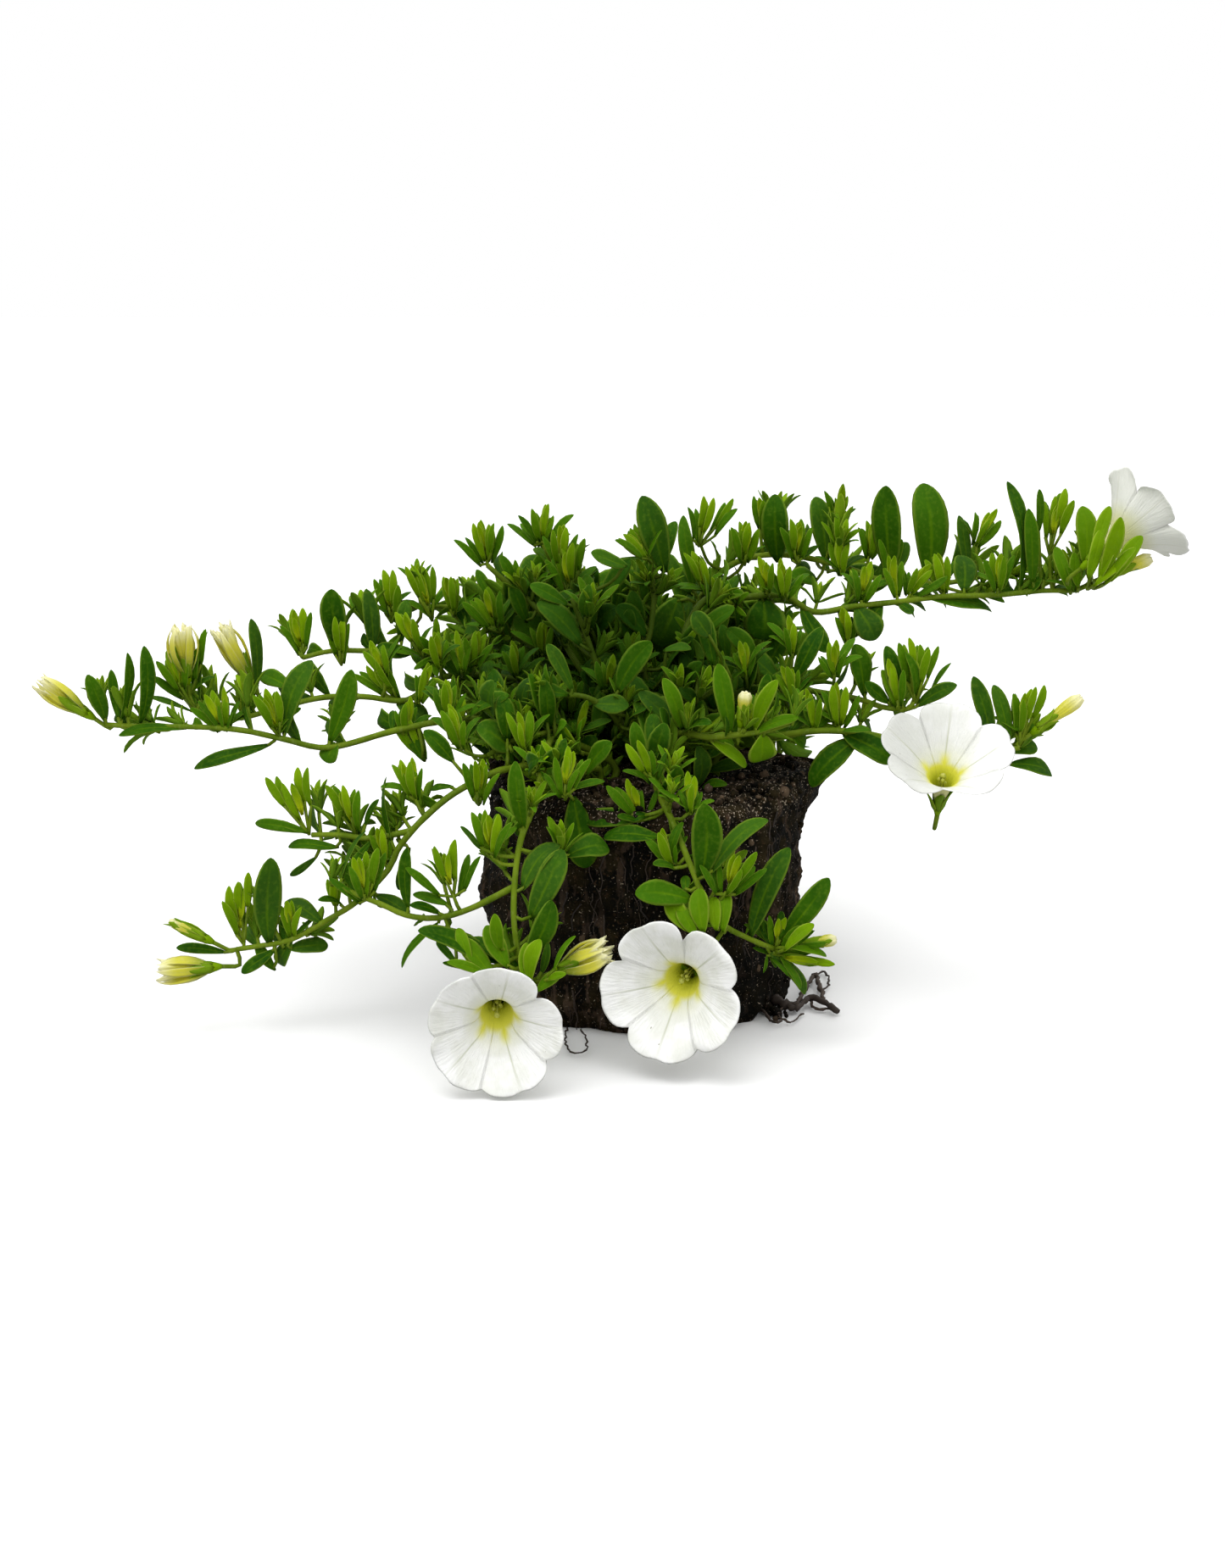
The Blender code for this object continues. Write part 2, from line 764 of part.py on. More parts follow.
def in_soil_or_floor(made):
    """True where a piece reaches into the root ball or under the floor."""
    for vertex in made.data.vertices:
        place = vertex.co
        if place.z < GAP:
            return True
        reach = ball_radius(place.z) + 2 * BALL_ROUGHNESS
        if place.z < BALL_HEIGHT + GAP and math.hypot(place.x, place.y) < reach:
            return True
    return False


class Garden:
    """The pieces grown so far, each with the node that it belongs to."""

    def __init__(self):
        self.trees = []
        self.pieces = {}

    def keep(self, node, made):
        self.trees.append((node, surface_tree(made, 0)))
        self.pieces.setdefault(node, []).append(made)

    def has_room(self, node, made):
        if in_soil_or_floor(made):
            return False
        tree = surface_tree(made, GAP)
        return not any(other != node and tree.overlap(held) for other, held in self.trees)

    def try_pieces(self, node, made):
        """Keeps the pieces where all of them have room, else removes them."""
        if all(self.has_room(node, piece) for piece in made):
            for piece in made:
                self.keep(node, piece)
            return True
        for piece in made:
            bpy.data.objects.remove(piece)
        return False


def soil_start(x, y):
    """The first two points of a stem: it stands up out of the soil."""
    foot = Vector((x * MM, y * MM, BALL_HEIGHT + GAP))
    return [foot, foot + Vector((0, 0, 5 * MM))]


def stem_routes(plan):
    """The main route of a shoot and its branches, as smooth lists of points."""
    main = soil_start(*plan["start"]) + [seen(*place) for place in plan["route"]]
    routes = [smooth_route(main, STEM_STEP)]
    for branch in plan.get("branches", ()):
        routes.append(smooth_route([seen(*place) for place in branch], STEM_STEP))
    return routes


def nearest_stem_point(routes, pixel):
    """The point of a shoot's stems that is seen nearest to a pixel."""
    points = [point for route in routes for point in route[1:]]
    return min(points, key=lambda point: (pixel_of(point) - pixel).length)


def base_at(routes, pixel, shift):
    """Where a tuft or a leaf starts, and the stem point that bears it."""
    bearer = nearest_stem_point(routes, Vector(pixel))
    return seen(*pixel, -bearer.y / MM + shift), bearer


def settled(base, bearer, towards):
    """The base, moved into the stem where it is close to it, so that the two join."""
    if (base - bearer).length >= SEATED:
        return base
    return bearer - (towards - bearer).normalized() * ROOTED


def with_twig(name, body, bearer, base, beyond, collection):
    """What a twig bears and, where its base stands off the stem, the twig."""
    if (base - bearer).length < SEATED:
        return [body]
    end = base + (beyond - base).normalized() * ROOTED * 1.5
    radii = (TWIG_RADIUS * 1.1, TWIG_RADIUS)
    return [body, limb(name + "_twig", [bearer, end], radii, 0, collection)]


def grow_stems(garden, name, routes, collection):
    for index, route in enumerate(routes):
        start = STEM_RADIUS if index == 0 else STEM_RADIUS * 0.8
        radii = tapered(start, STEM_TIP_RADIUS, len(route))
        roundness = 1 if index == 0 else 0
        garden.keep(name, limb(f"{name}_stem_{index}", route, radii, roundness, collection))


def grow_tuft(garden, name, routes, tuft, index, collection):
    """A tuft on its twig, at the first depth where it clears the other shoots."""
    base_x, base_y, top_x, top_y, half_width = tuft
    lean = (3, -3)[index % 2]
    for shift in (0, 3, -3, 6, -6, 9):
        base, bearer = base_at(routes, (base_x, base_y), shift)
        top = seen(top_x, top_y, -base.y / MM + lean)
        base = settled(base, bearer, top)
        spread = half_width * pixel_size(base)
        title = f"{name}_tuft_{index}"
        body = rosette(title, base, top, spread, collection)
        if garden.try_pieces(name, with_twig(title, body, bearer, base, top, collection)):
            return


def grow_leaf(garden, name, routes, leaf, index, collection):
    """A leaf on its short stalk, at the first lean where it clears the other shoots."""
    tip_x, tip_y, base_x, base_y, seen_width = leaf
    side = (1, -1)[index % 2]
    for shift, lean in ((0, 2), (0, 5), (0, -5), (3, 2), (-3, 2), (5, 8), (-5, -8)):
        base, bearer = base_at(routes, (base_x, base_y), shift)
        tip = seen(tip_x, tip_y, -base.y / MM + lean * side)
        base = settled(base, bearer, tip)
        narrow = seen_width * pixel_size(base)
        width = max(narrow, LEAF_WIDTH_SHARE * (tip - base).length)
        turn = side * math.acos(min(1, narrow / width)) * 0.8
        face = (-AWAY + Vector((0, 0, 0.5))).normalized()
        title = f"{name}_leaf_{index}"
        body = blade(title, base, tip, width, face, turn, collection)
        if garden.try_pieces(name, with_twig(title, body, bearer, base, tip, collection)):
            return


def grow_back_tufts(garden, name, route, collection):
    """Tufts and leaves that alternate round a stem behind the crown."""
    walked = 0
    index = 0
    for before, point in zip(route[2:], route[3:]):
        walked += (point - before).length
        if walked < BACK_TUFT_SPACING * (index + 1):
            continue
        index += 1
        run = (point - before).normalized()
        around = Matrix.Rotation(index * LEAF_TURN, 3, run)
        out = (around @ run.orthogonal() + Vector((0, 0, 0.6))).normalized()
        title = f"{name}_tuft_{index}"
        lean = (out + run * 0.4).normalized()
        base = point - lean * ROOTED / 2
        if index % 3 == 0:
            tip = point + lean * BACK_LEAF_LENGTH
            body = blade(title, base, tip, BACK_LEAF_WIDTH, run, 0, collection)
        else:
            tip = point + lean * BACK_TUFT_LENGTH
            body = rosette(title, base, tip, BACK_TUFT_HALF_WIDTH, collection)
        garden.try_pieces(name, [body])


def grow_flower(garden, name, routes, collection, looks):
    """One open flower on its stalk: a corolla and a calyx, each its own node."""
    shoot, (px, py, toward), facing, radius, notch = FLOWERS[name]
    axis = (RIGHT * facing[0] + UP * facing[1] - AWAY * facing[2]).normalized()
    tube_foot = seen(px, py, toward) - axis * FLOWER_DEPTH
    calyx_foot = tube_foot - axis * CALYX_SEAT
    petals = corolla(f"corolla_{name}", tube_foot, axis, radius * MM, notch, collection)
    petals.data.materials.append(looks["petal"])
    garden.keep(petals.name, petals)
    size = (CALYX_LENGTH, CALYX_SPREAD, CALYX_SEAT)
    cup = calyx(f"calyx_{name}", calyx_foot, axis, size, collection)
    cup.data.materials.append(looks["calyx"])
    garden.keep(cup.name, cup)
    grow_pedicel(garden, shoot, name, routes[shoot], calyx_foot, axis, collection)


def grow_bud(garden, name, routes, collection, looks):
    """One bud on its stalk: folded petals and a calyx, each its own node."""
    shoot, base_pixel, tip_pixel, width = BUDS[name]
    calyx_foot, _ = base_at(routes[shoot], base_pixel, 0)
    tip = seen(*tip_pixel, -calyx_foot.y / MM + 2)
    axis = (tip - calyx_foot).normalized()
    length = (tip - calyx_foot).length
    broad = width * pixel_size(calyx_foot)
    petals = bud_petals(f"bud_{name}", calyx_foot + axis * BUD_SEAT, tip, broad, collection)
    petals.data.materials.append(looks["bud"])
    garden.keep(petals.name, petals)
    size = (length * BUD_CALYX_SHARE, broad / 2 + BUD_CALYX_CLEARANCE, BUD_SEAT)
    cup = calyx(f"bud_calyx_{name}", calyx_foot, axis, size, collection)
    cup.data.materials.append(looks["calyx"])
    garden.keep(cup.name, cup)
    grow_pedicel(garden, shoot, f"bud_{name}", routes[shoot], calyx_foot, axis, collection)


def grow_pedicel(garden, shoot, name, routes, foot, axis, collection):
    """The stalk of a flower or a bud, which ends just short of its calyx."""
    bearer = nearest_stem_point(routes, pixel_of(foot - axis * PEDICEL_STRAIGHT))
    end = foot - axis * GAP
    points = smooth_route([bearer, foot - axis * PEDICEL_STRAIGHT, end], PEDICEL_STRAIGHT)
    radii = tapered(TWIG_RADIUS, TWIG_RADIUS * 0.9, len(points))
    garden.keep(shoot, limb(f"{shoot}_{name}_pedicel", points, radii, 0, collection))


def remove_pockets(shape):
    """Removes the inner skins of pockets that leaves and twigs close off between them."""
    bmesh.ops.triangulate(shape, faces=shape.faces)
    unseen = set(shape.faces)
    while unseen:
        island = {unseen.pop()}
        edge_of_island = set(island)
        while edge_of_island:
            beside = {face for old in edge_of_island for edge in old.edges for face in edge.link_faces}
            edge_of_island = beside - island
            island |= beside
        unseen -= island
        corners = [[vertex.co for vertex in face.verts] for face in island]
        if sum(a.dot(b.cross(c)) for a, b, c in corners) < 0:
            bmesh.ops.delete(shape, geom=list(island), context="FACES")


def join_shoot(name, pieces, collection, material):
    """One closed solid from a shoot's stem, twigs, leaves and tufts."""
    stem, *others = pieces
    group = bpy.data.collections.new(f"{name}_pieces")
    for piece in others:
        group.objects.link(piece)
    union = stem.modifiers.new("grown_together", "BOOLEAN")
    union.operation = "UNION"
    union.solver = "EXACT"
    union.operand_type = "COLLECTION"
    union.collection = group
    graph = bpy.context.evaluated_depsgraph_get()
    shape = bmesh.new()
    shape.from_object(stem, graph)
    remove_pockets(shape)
    made = object_from(name, shape, collection)
    mesh = made.data
    mesh.materials.clear()
    mesh.materials.append(material)
    for piece in pieces:
        bpy.data.objects.remove(piece)
    bpy.data.collections.remove(group)
    mesh.shade_smooth()
    mesh.set_sharp_from_angle(angle=math.radians(50))
    return made


def main():
    clear_scene()
    parts = new_collection("calibrachoa")
    helpers = new_collection("growing_pieces")
    looks = {
        "soil": new_material("soil", (0.022, 0.014, 0.010), 0.95),
        "leaf": new_material("leaf", (0.060, 0.160, 0.018), 0.55),
        "calyx": new_material("calyx", (0.110, 0.230, 0.030), 0.6),
        "petal": new_material("petal", (0.86, 0.87, 0.82), 0.6),
        "bud": new_material("bud", (0.78, 0.76, 0.34), 0.6),
    }
    ball = root_ball(parts)
    ball.data.materials.append(looks["soil"])
    garden = Garden()
    garden.keep("root_ball", ball)

    routes = {name: stem_routes(plan) for name, plan in SHOOTS.items()}
    for name, (start, places) in BACK_SHOOTS.items():
        points = soil_start(*start) + [Vector(place) * MM for place in places]
        routes[name] = [smooth_route(points, STEM_STEP)]
    for name, lines in routes.items():
        grow_stems(garden, name, lines, helpers)
    for name in FLOWERS:
        grow_flower(garden, name, routes, parts, looks)
    for name in BUDS:
        grow_bud(garden, name, routes, parts, looks)
    for name, plan in SHOOTS.items():
        for index, leaf in enumerate(plan["leaves"]):
            grow_leaf(garden, name, routes[name], leaf, index, helpers)
    for name, plan in SHOOTS.items():
        for index, tuft in enumerate(plan["tufts"]):
            grow_tuft(garden, name, routes[name], tuft, index, helpers)
    for name in BACK_SHOOTS:
        grow_back_tufts(garden, name, routes[name][0], helpers)
    for name in routes:
        join_shoot(name, garden.pieces[name], parts, looks["leaf"])
    bpy.data.collections.remove(helpers)


main()
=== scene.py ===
"""The looks of a trailing plant with white funnel flowers on its bare root ball.

Places read off the picture are named values in its pixels with a depth in millimetres towards the viewer,
and seen() turns them into metres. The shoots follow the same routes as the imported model's shoots.
"""

import functools
import math
import random

import bmesh
import bpy
import numpy as np
from mathutils import Matrix, Vector, noise


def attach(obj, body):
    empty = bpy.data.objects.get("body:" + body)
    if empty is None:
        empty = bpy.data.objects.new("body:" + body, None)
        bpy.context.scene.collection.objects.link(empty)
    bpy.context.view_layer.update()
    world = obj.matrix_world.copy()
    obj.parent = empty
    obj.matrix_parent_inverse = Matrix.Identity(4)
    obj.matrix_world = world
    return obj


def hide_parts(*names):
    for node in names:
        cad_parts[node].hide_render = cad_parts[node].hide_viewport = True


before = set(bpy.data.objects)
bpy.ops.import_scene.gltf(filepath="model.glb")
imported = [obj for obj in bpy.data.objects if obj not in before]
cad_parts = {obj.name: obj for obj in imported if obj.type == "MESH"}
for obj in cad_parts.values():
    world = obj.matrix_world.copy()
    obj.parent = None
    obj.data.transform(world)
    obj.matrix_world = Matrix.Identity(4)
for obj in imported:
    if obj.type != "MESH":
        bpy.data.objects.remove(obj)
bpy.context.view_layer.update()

MM = 0.001

# The viewpoint, which places everything that was read in pixels: the distance and the target are in metres,
# the focal length, the size and the centre in pixels
VIEW_ELEVATION = math.radians(14)
VIEW_DISTANCE = 0.650
VIEW_FOCAL = 2568
VIEW_SIZE = (1445, 1850)
VIEW_CENTRE = (722.5, 925)
VIEW_TARGET = Vector((-0.010, 0, 0.0644))
AWAY = Vector((0, math.cos(VIEW_ELEVATION), -math.sin(VIEW_ELEVATION)))
RIGHT = Vector((1, 0, 0))
UP = Vector((0, math.sin(VIEW_ELEVATION), math.cos(VIEW_ELEVATION)))
SKY = Vector((0, 0, 1))
EYE = VIEW_TARGET - AWAY * VIEW_DISTANCE

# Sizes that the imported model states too, in metres
BALL_HEIGHT = 69 * MM
BALL_TOP_RADIUS = 47.5 * MM
BALL_BASE_RADIUS = 43.5 * MM
STEM_RADIUS = 1.15 * MM
STEM_TIP_RADIUS = 0.75 * MM
FLOWER_DEPTH = 24 * MM
CALYX_LENGTH = 12 * MM
CALYX_SEAT = 4.4 * MM
BUD_SEAT = 3.6 * MM
PEDICEL_STRAIGHT = 5 * MM

# Stems: a twig's radius, how deep they start in the soil and how far they stand up first, the step of their
# rings, and the points in a ring
TWIG_RADIUS = 0.55 * MM
SOIL_GRIP = 2 * MM
SOIL_RISE = 7 * MM
STEM_STEP = 2.5 * MM
STEM_SIDES = 10
TWIG_SIDES = 5
PEDICEL_SIDES = 8

# Sizes of leaves and flowers, and the turn from one leaf to the next
LEAF_THICKNESS = 0.45 * MM
PETAL_THICKNESS = 0.35 * MM
SEPAL_WIDTH = 3.3 * MM
SEPAL_SPREAD = 4.2 * MM
FILAMENT_RADIUS = 0.2 * MM
GOLDEN = math.radians(137.5)
# How far in front of a flower and round it no leaf grows
FLOWER_FREE = 30 * MM
FLOWER_GAP = 2 * MM

# Filling: the step between leaves along a stem, the tries for each, and the tries for the whole crown
FILL_STEP = 5 * MM
FILL_TRIES = 5
CANOPY_TRIES = 1450
# So far behind the ball's axis a leaf may point at the viewer, and the ball hides what grows
BEHIND = 30 * MM
# The shoots at the back: the step between leaves as a share of the others', and their size
BACK_PACE = 0.55
BACK_SIZE = 1.35

# Ranges that leaves and tufts are drawn from: lengths, heights and half widths in mm, widths as shares of the
# length, and ages from 0 for old and dark to 1 for young and pale
FAN_LENGTHS = (10.5, 13)
SKIRT_LENGTHS = (7, 12)
FILL_LENGTHS = (9, 16)
CANOPY_LENGTHS = (11, 19)
TUFT_HEIGHTS = (10, 14)
CANOPY_HEIGHTS = (9, 13)
TUFT_SPREADS = (4, 6)
YOUNG_WIDTHS = (0.19, 0.25)
SKIRT_WIDTHS = (0.24, 0.30)
FILL_WIDTHS = (0.36, 0.46)
CANOPY_WIDTHS = (0.32, 0.46)
SKIRT_AGES = (0.10, 0.45)
FILL_AGES = (0.05, 0.5)
CANOPY_AGES = (0, 0.3)

# Leaves read off the picture: from which age to which, and how many millimetres nearer to the viewer than
# their stem they start
OLD_AGES = (0.0, 0.28)
BRIGHT_AGES = (0.42, 0.62)
BRIGHT_SHIFT = 6
NEAR_AGES = (0.58, 0.74)
NEAR_SHIFT = 18
# In pixels: how far apart the tips and the bases of two readings of one leaf may be, how near to a fan a tuft
# is the same one, how far foliage reaches round what was read, and the free rim round a leaf that was read
SAME_TIP = 14
SAME_BASE = 34
SAME_TUFT = 20
OUTLINE_REACH = 15
GUARD_RIM = 2
# The sides on which a fan's low leaves stand, and the small pale leaves in its heart
SKIRT = (-1, 1, -1, 1)
FAN_HEARTS = 2
HEART_LENGTH = 8
HEART_WIDTH = 2.4
# The crown's middle and half sizes in metres, which tell the materials how deep inside a point lies, for the
# painted shade of leaves and stems there
CROWN_CENTRE = (-0.008, 0.006, 0.100)
CROWN_REACH = (0.085, 0.052, 0.058)

# The ball's grid, its loose crumbs with their sizes in mm, and its fine roots with their radii in mm, their
# number of parts and the height of a part in mm
BALL_AROUND = 240
BALL_SIDE_ROWS = 78
BALL_CAP_ROWS = 46
CRUMBS = 800
CRUMB_SIZES = (0.4, 1.5)
ROOTS = 130
ROOT_RADII = (0.10, 0.30)
ROOT_PARTS = (7, 18)
ROOT_STEPS = (1.0, 2.2)
# The ball's edge in mm: how far from it the side rounds off and how deep, and how far in from it the flat
# faces are moved too
EDGE_REACH = 4
EDGE_DEPTH = 2.0
EDGE_INWARD = 5
# The hollows at its foot in mm: up to which height and how deep
FOOT_REACH = 9
FOOT_DEPTH = 6
# The soil's lumps on its sides and on its top: size and depth in mm
SIDE_LUMPS = ((13, 2.4), (4.5, 1.7), (1.6, 0.8))
TOP_LUMPS = ((7, 1.5), (2.4, 1.1), (1.1, 0.5))

# The sky's strength at the horizon and its rise to the top, and the share of light that the floor throws back
SKY_LOW = 0.50
SKY_RISE = 1.60
FLOOR_BOUNCE = 0.45
FLOOR_SIZE = 6
WHITE = (1, 1, 1)
# The large light: where it is and what it faces in metres, its width in metres and its power in watts
KEY_PLACE = (-0.30, -0.45, 1.1)
KEY_TARGET = (0, 0, 0.05)
KEY_SIZE = 0.7
KEY_POWER = 4

# Each shoot: where it leaves the soil (x, y in mm), its route (px, py, mm towards the viewer), its tufts
# (base x, y, top x, y, half width in px) and its leaves (tip x, y, base x, y, width in px)
SHOOTS = {
    "left_long": {
        "start": (-15, -3),
        "route": (
            (650, 862, 8), (600, 850, 10), (560, 848, 12), (520, 851, 14), (462, 863, 16), (388, 882, 18),
            (335, 872, 20), (288, 862, 22), (240, 858, 22), (165, 857, 24), (125, 855, 24),
        ),
        "tufts": ((258, 858, 248, 812, 16), (548, 850, 536, 812, 13)),
        "leaves": (
            (103, 796, 125, 850, 20), (131, 790, 140, 850, 12), (150, 770, 143, 852, 8),
            (170, 762, 165, 855, 10), (140, 868, 220, 860, 14), (229, 907, 320, 878, 18),
            (385, 900, 396, 876, 26), (368, 779, 335, 868, 30), (415, 790, 388, 878, 25),
            (463, 838, 462, 862, 10),
        ),
    },
    "left_upper": {
        "start": (-17, 6),
        "route": (
            (640, 815, -6), (575, 797, -8), (520, 800, -8), (480, 826, -6), (430, 822, -4), (380, 823, 0),
            (330, 835, 2), (285, 847, 6), (250, 848, 8), (232, 838, 8),
        ),
        "tufts": (
            (455, 828, 452, 784, 18), (232, 838, 200, 765, 12), (285, 846, 283, 800, 12),
            (520, 800, 520, 765, 12),
        ),
        "leaves": (
            (173, 822, 228, 840, 10), (296, 730, 303, 812, 10), (307, 795, 345, 812, 22),
            (505, 850, 468, 830, 24), (245, 745, 236, 830, 12),
        ),
    },
    "left_high": {
        "start": (-12, 13),
        "route": (
            (650, 780, -22), (620, 758, -24), (585, 742, -26), (545, 757, -24), (515, 772, -22),
            (480, 768, -20), (440, 768, -18), (392, 768, -16), (357, 776, -14),
        ),
        "tufts": (
            (357, 776, 348, 720, 19), (395, 768, 396, 728, 15), (480, 768, 476, 722, 13),
            (515, 773, 517, 740, 12), (545, 790, 545, 757, 14), (585, 742, 572, 700, 16),
        ),
        "leaves": (
            (391, 695, 400, 766, 30), (432, 695, 440, 768, 20), (443, 765, 484, 772, 20),
            (612, 700, 597, 748, 18),
        ),
    },
    "left_top": {
        "start": (-7, 19),
        "route": (
            (670, 745, -36), (640, 725, -38), (600, 712, -40), (560, 718, -42), (520, 716, -42),
            (497, 716, -40), (458, 716, -38),
        ),
        "tufts": (
            (458, 716, 453, 674, 16), (497, 716, 490, 668, 15), (528, 718, 524, 684, 11),
            (565, 718, 556, 688, 13),
        ),
        "leaves": ((562, 672, 590, 716, 14),),
    },
    "top_left": {
        "start": (-4, 9),
        "route": ((685, 790, -10), (655, 742, -16), (620, 705, -18), (595, 685, -20), (575, 667, -20)),
        "tufts": ((575, 667, 566, 617, 28), (622, 706, 604, 672, 13)),
        "leaves": ((590, 655, 610, 694, 14), (603, 690, 622, 735, 18)),
    },
    "top_crown": {
        "start": (0, 14),
        "route": ((715, 780, -24), (690, 730, -28), (660, 680, -30), (641, 642, -30)),
        "tufts": ((641, 642, 636, 602, 33), (690, 728, 708, 690, 14)),
        "leaves": ((645, 612, 650, 664, 14), (605, 730, 668, 770, 42)),
    },
    "top_bright": {
        "start": (-3, 2),
        "route": ((715, 812, 4), (695, 760, 4), (675, 706, 4)),
        "tufts": ((675, 706, 668, 642, 23), (700, 780, 722, 745, 13)),
        "leaves": ((697, 652, 740, 668, 20), (625, 690, 672, 715, 20)),
    },
    "top_centre": {
        "start": (5, 10),
        "route": ((760, 790, -12), (768, 740, -15), (771, 700, -18), (768, 664, -20)),
        "tufts": ((768, 664, 738, 628, 14), (771, 705, 800, 672, 14)),
        "leaves": ((757, 585, 785, 676, 36), (797, 615, 780, 668, 18), (727, 715, 764, 752, 26)),
    },
    "upper_right_long": {
        "start": (13, 9),
        "route": (
            (805, 770, -12), (815, 730, -17), (838, 704, -20), (870, 705, -22), (925, 703, -22),
            (960, 722, -22), (1010, 715, -22), (1060, 710, -22), (1110, 704, -22), (1175, 702, -22),
            (1230, 697, -22), (1270, 696, -22), (1288, 686, -22),
        ),
        "tufts": (
            (838, 704, 818, 652, 14), (922, 704, 921, 662, 17), (1015, 714, 1022, 672, 16),
            (1075, 708, 1090, 674, 19), (1236, 660, 1250, 585, 15), (1260, 694, 1276, 650, 14),
            (1175, 702, 1180, 668, 12),
        ),
        "leaves": (
            (1033, 755, 1010, 716, 34), (1170, 722, 1095, 706, 26), (1077, 724, 1060, 712, 14),
            (903, 755, 900, 706, 50), (1188, 568, 1204, 695, 16), (1213, 600, 1218, 690, 18),
            (1277, 597, 1270, 690, 23), (1212, 700, 1230, 680, 20), (975, 770, 945, 716, 24),
        ),
    },
    "upper_right_back": {
        "start": (9, 20),
        "route": (
            (815, 745, -38), (830, 700, -44), (860, 668, -46), (900, 655, -46), (945, 657, -46),
            (1000, 670, -44), (1040, 684, -42), (1110, 688, -40), (1160, 680, -38),
        ),
        "tufts": (
            (835, 650, 843, 592, 28), (870, 668, 878, 622, 16), (915, 656, 899, 590, 12),
            (945, 657, 950, 617, 15), (990, 668, 987, 590, 13), (1020, 677, 1032, 617, 15),
            (1105, 688, 1110, 640, 17), (1160, 680, 1166, 608, 15),
        ),
        "leaves": (
            (914, 583, 918, 664, 32), (962, 586, 975, 664, 28), (1045, 573, 1050, 680, 34),
            (1089, 570, 1095, 684, 42), (806, 608, 818, 700, 16), (1131, 608, 1142, 682, 13),
        ),
    },
    "right_mid": {
        "start": (18, 5),
        "route": (
            (865, 822, 0), (920, 808, 2), (957, 815, 4), (1010, 824, 6), (1040, 834, 8), (1066, 838, 10),
        ),
        "tufts": ((1072, 834, 1090, 768, 22), (985, 812, 982, 764, 16), (925, 808, 930, 768, 15)),
        "leaves": (
            (1045, 762, 1064, 832, 22), (1008, 760, 1020, 822, 30), (970, 740, 935, 806, 22),
            (1129, 808, 1080, 834, 18), (893, 780, 880, 816, 22),
        ),
    },
    "right_tip": {
        "start": (21, -4),
        "route": (
            (900, 872, 8), (940, 865, 12), (968, 862, 14), (1010, 864, 14), (1060, 874, 12), (1110, 890, 8),
            (1155, 892, 8), (1203, 882, 12),
        ),
        "tufts": ((992, 862, 992, 814, 20), (1203, 880, 1200, 826, 12), (1208, 880, 1222, 815, 14)),
        "leaves": (
            (956, 928, 1015, 868, 34), (1055, 900, 995, 866, 36), (1148, 798, 1172, 884, 22),
            (1172, 808, 1190, 880, 18), (1241, 915, 1190, 902, 24), (950, 880, 935, 868, 20),
        ),
    },
    "centre_front": {
        "start": (9, -17),
        "route": ((800, 866, 24), (835, 870, 28), (870, 867, 30), (905, 862, 32), (935, 852, 32)),
        "tufts": ((812, 866, 808, 828, 14), (935, 852, 945, 812, 14)),
        "leaves": (
            (847, 783, 862, 866, 24), (917, 802, 890, 862, 18), (942, 846, 890, 866, 14),
            (782, 800, 806, 862, 20), (880, 905, 838, 874, 18), (898, 898, 900, 866, 34),
        ),
        "ages": (0.35, 0.6),
    },
    "front_right": {
        "start": (3, -24),
        "route": (
            (775, 905, 30), (775, 930, 38), (792, 967, 50), (810, 1010, 56), (824, 1046, 60), (834, 1080, 60),
        ),
        "branches": (((824, 1046, 60), (850, 1088, 58), (885, 1108, 54), (915, 1120, 52)),),
        "tufts": (
            (772, 922, 762, 877, 22), (760, 964, 756, 930, 20), (800, 985, 810, 935, 11),
            (796, 1020, 776, 984, 18), (855, 1055, 862, 1012, 26), (915, 1120, 935, 1085, 14),
        ),
        "leaves": (
            (830, 948, 826, 1038, 36), (712, 988, 780, 988, 26), (688, 967, 765, 962, 26),
            (906, 967, 838, 1030, 24), (931, 1000, 885, 1106, 28), (978, 1036, 918, 1112, 26),
            (749, 1054, 818, 1062, 32), (950, 1173, 906, 1122, 16), (984, 1133, 920, 1124, 16),
            (792, 1066, 826, 1082, 18),
        ),
    },
    "front_left": {
        "start": (-10, -13),
        "route": (
            (655, 872, 22), (642, 905, 36), (628, 953, 50), (614, 992, 56), (608, 1031, 60), (606, 1081, 64),
            (612, 1128, 66), (628, 1160, 66),
        ),
        "branches": (
            (
                (607, 1046, 61), (555, 1072, 58), (515, 1083, 56), (480, 1080, 54), (450, 1067, 52),
                (420, 1055, 50), (390, 1040, 48),
            ),
        ),
        "tufts": (
            (580, 1012, 578, 960, 20), (532, 1062, 522, 1006, 26), (442, 1062, 443, 1012, 22),
            (392, 1042, 396, 1010, 12), (660, 1012, 662, 966, 18),
        ),
        "leaves": (
            (608, 898, 618, 978, 22), (660, 996, 616, 1050, 30), (650, 1062, 622, 1130, 28),
            (580, 1080, 612, 1128, 22), (552, 1108, 616, 1146, 20), (493, 1098, 590, 1136, 32),
            (474, 1142, 520, 1086, 12), (480, 1000, 482, 1074, 16),
        ),
    },
    "lower_left": {
        "start": (-18, -11),
        "route": (
            (610, 905, 26), (575, 915, 32), (537, 935, 36), (510, 956, 38), (486, 980, 40), (468, 1004, 40),
            (458, 1026, 40), (423, 1062, 42), (387, 1085, 42), (342, 1109, 42), (306, 1116, 42),
            (279, 1120, 42),
        ),
        "branches": (((486, 980, 40), (438, 989, 38), (400, 985, 36), (368, 985, 34)),),
        "tufts": (
            (505, 945, 480, 900, 19), (368, 985, 334, 928, 14), (372, 984, 360, 912, 12),
            (420, 986, 398, 935, 20), (300, 1116, 288, 1050, 18),
        ),
        "leaves": (
            (301, 971, 366, 982, 12), (340, 999, 400, 1000, 15), (319, 1012, 318, 1114, 33),
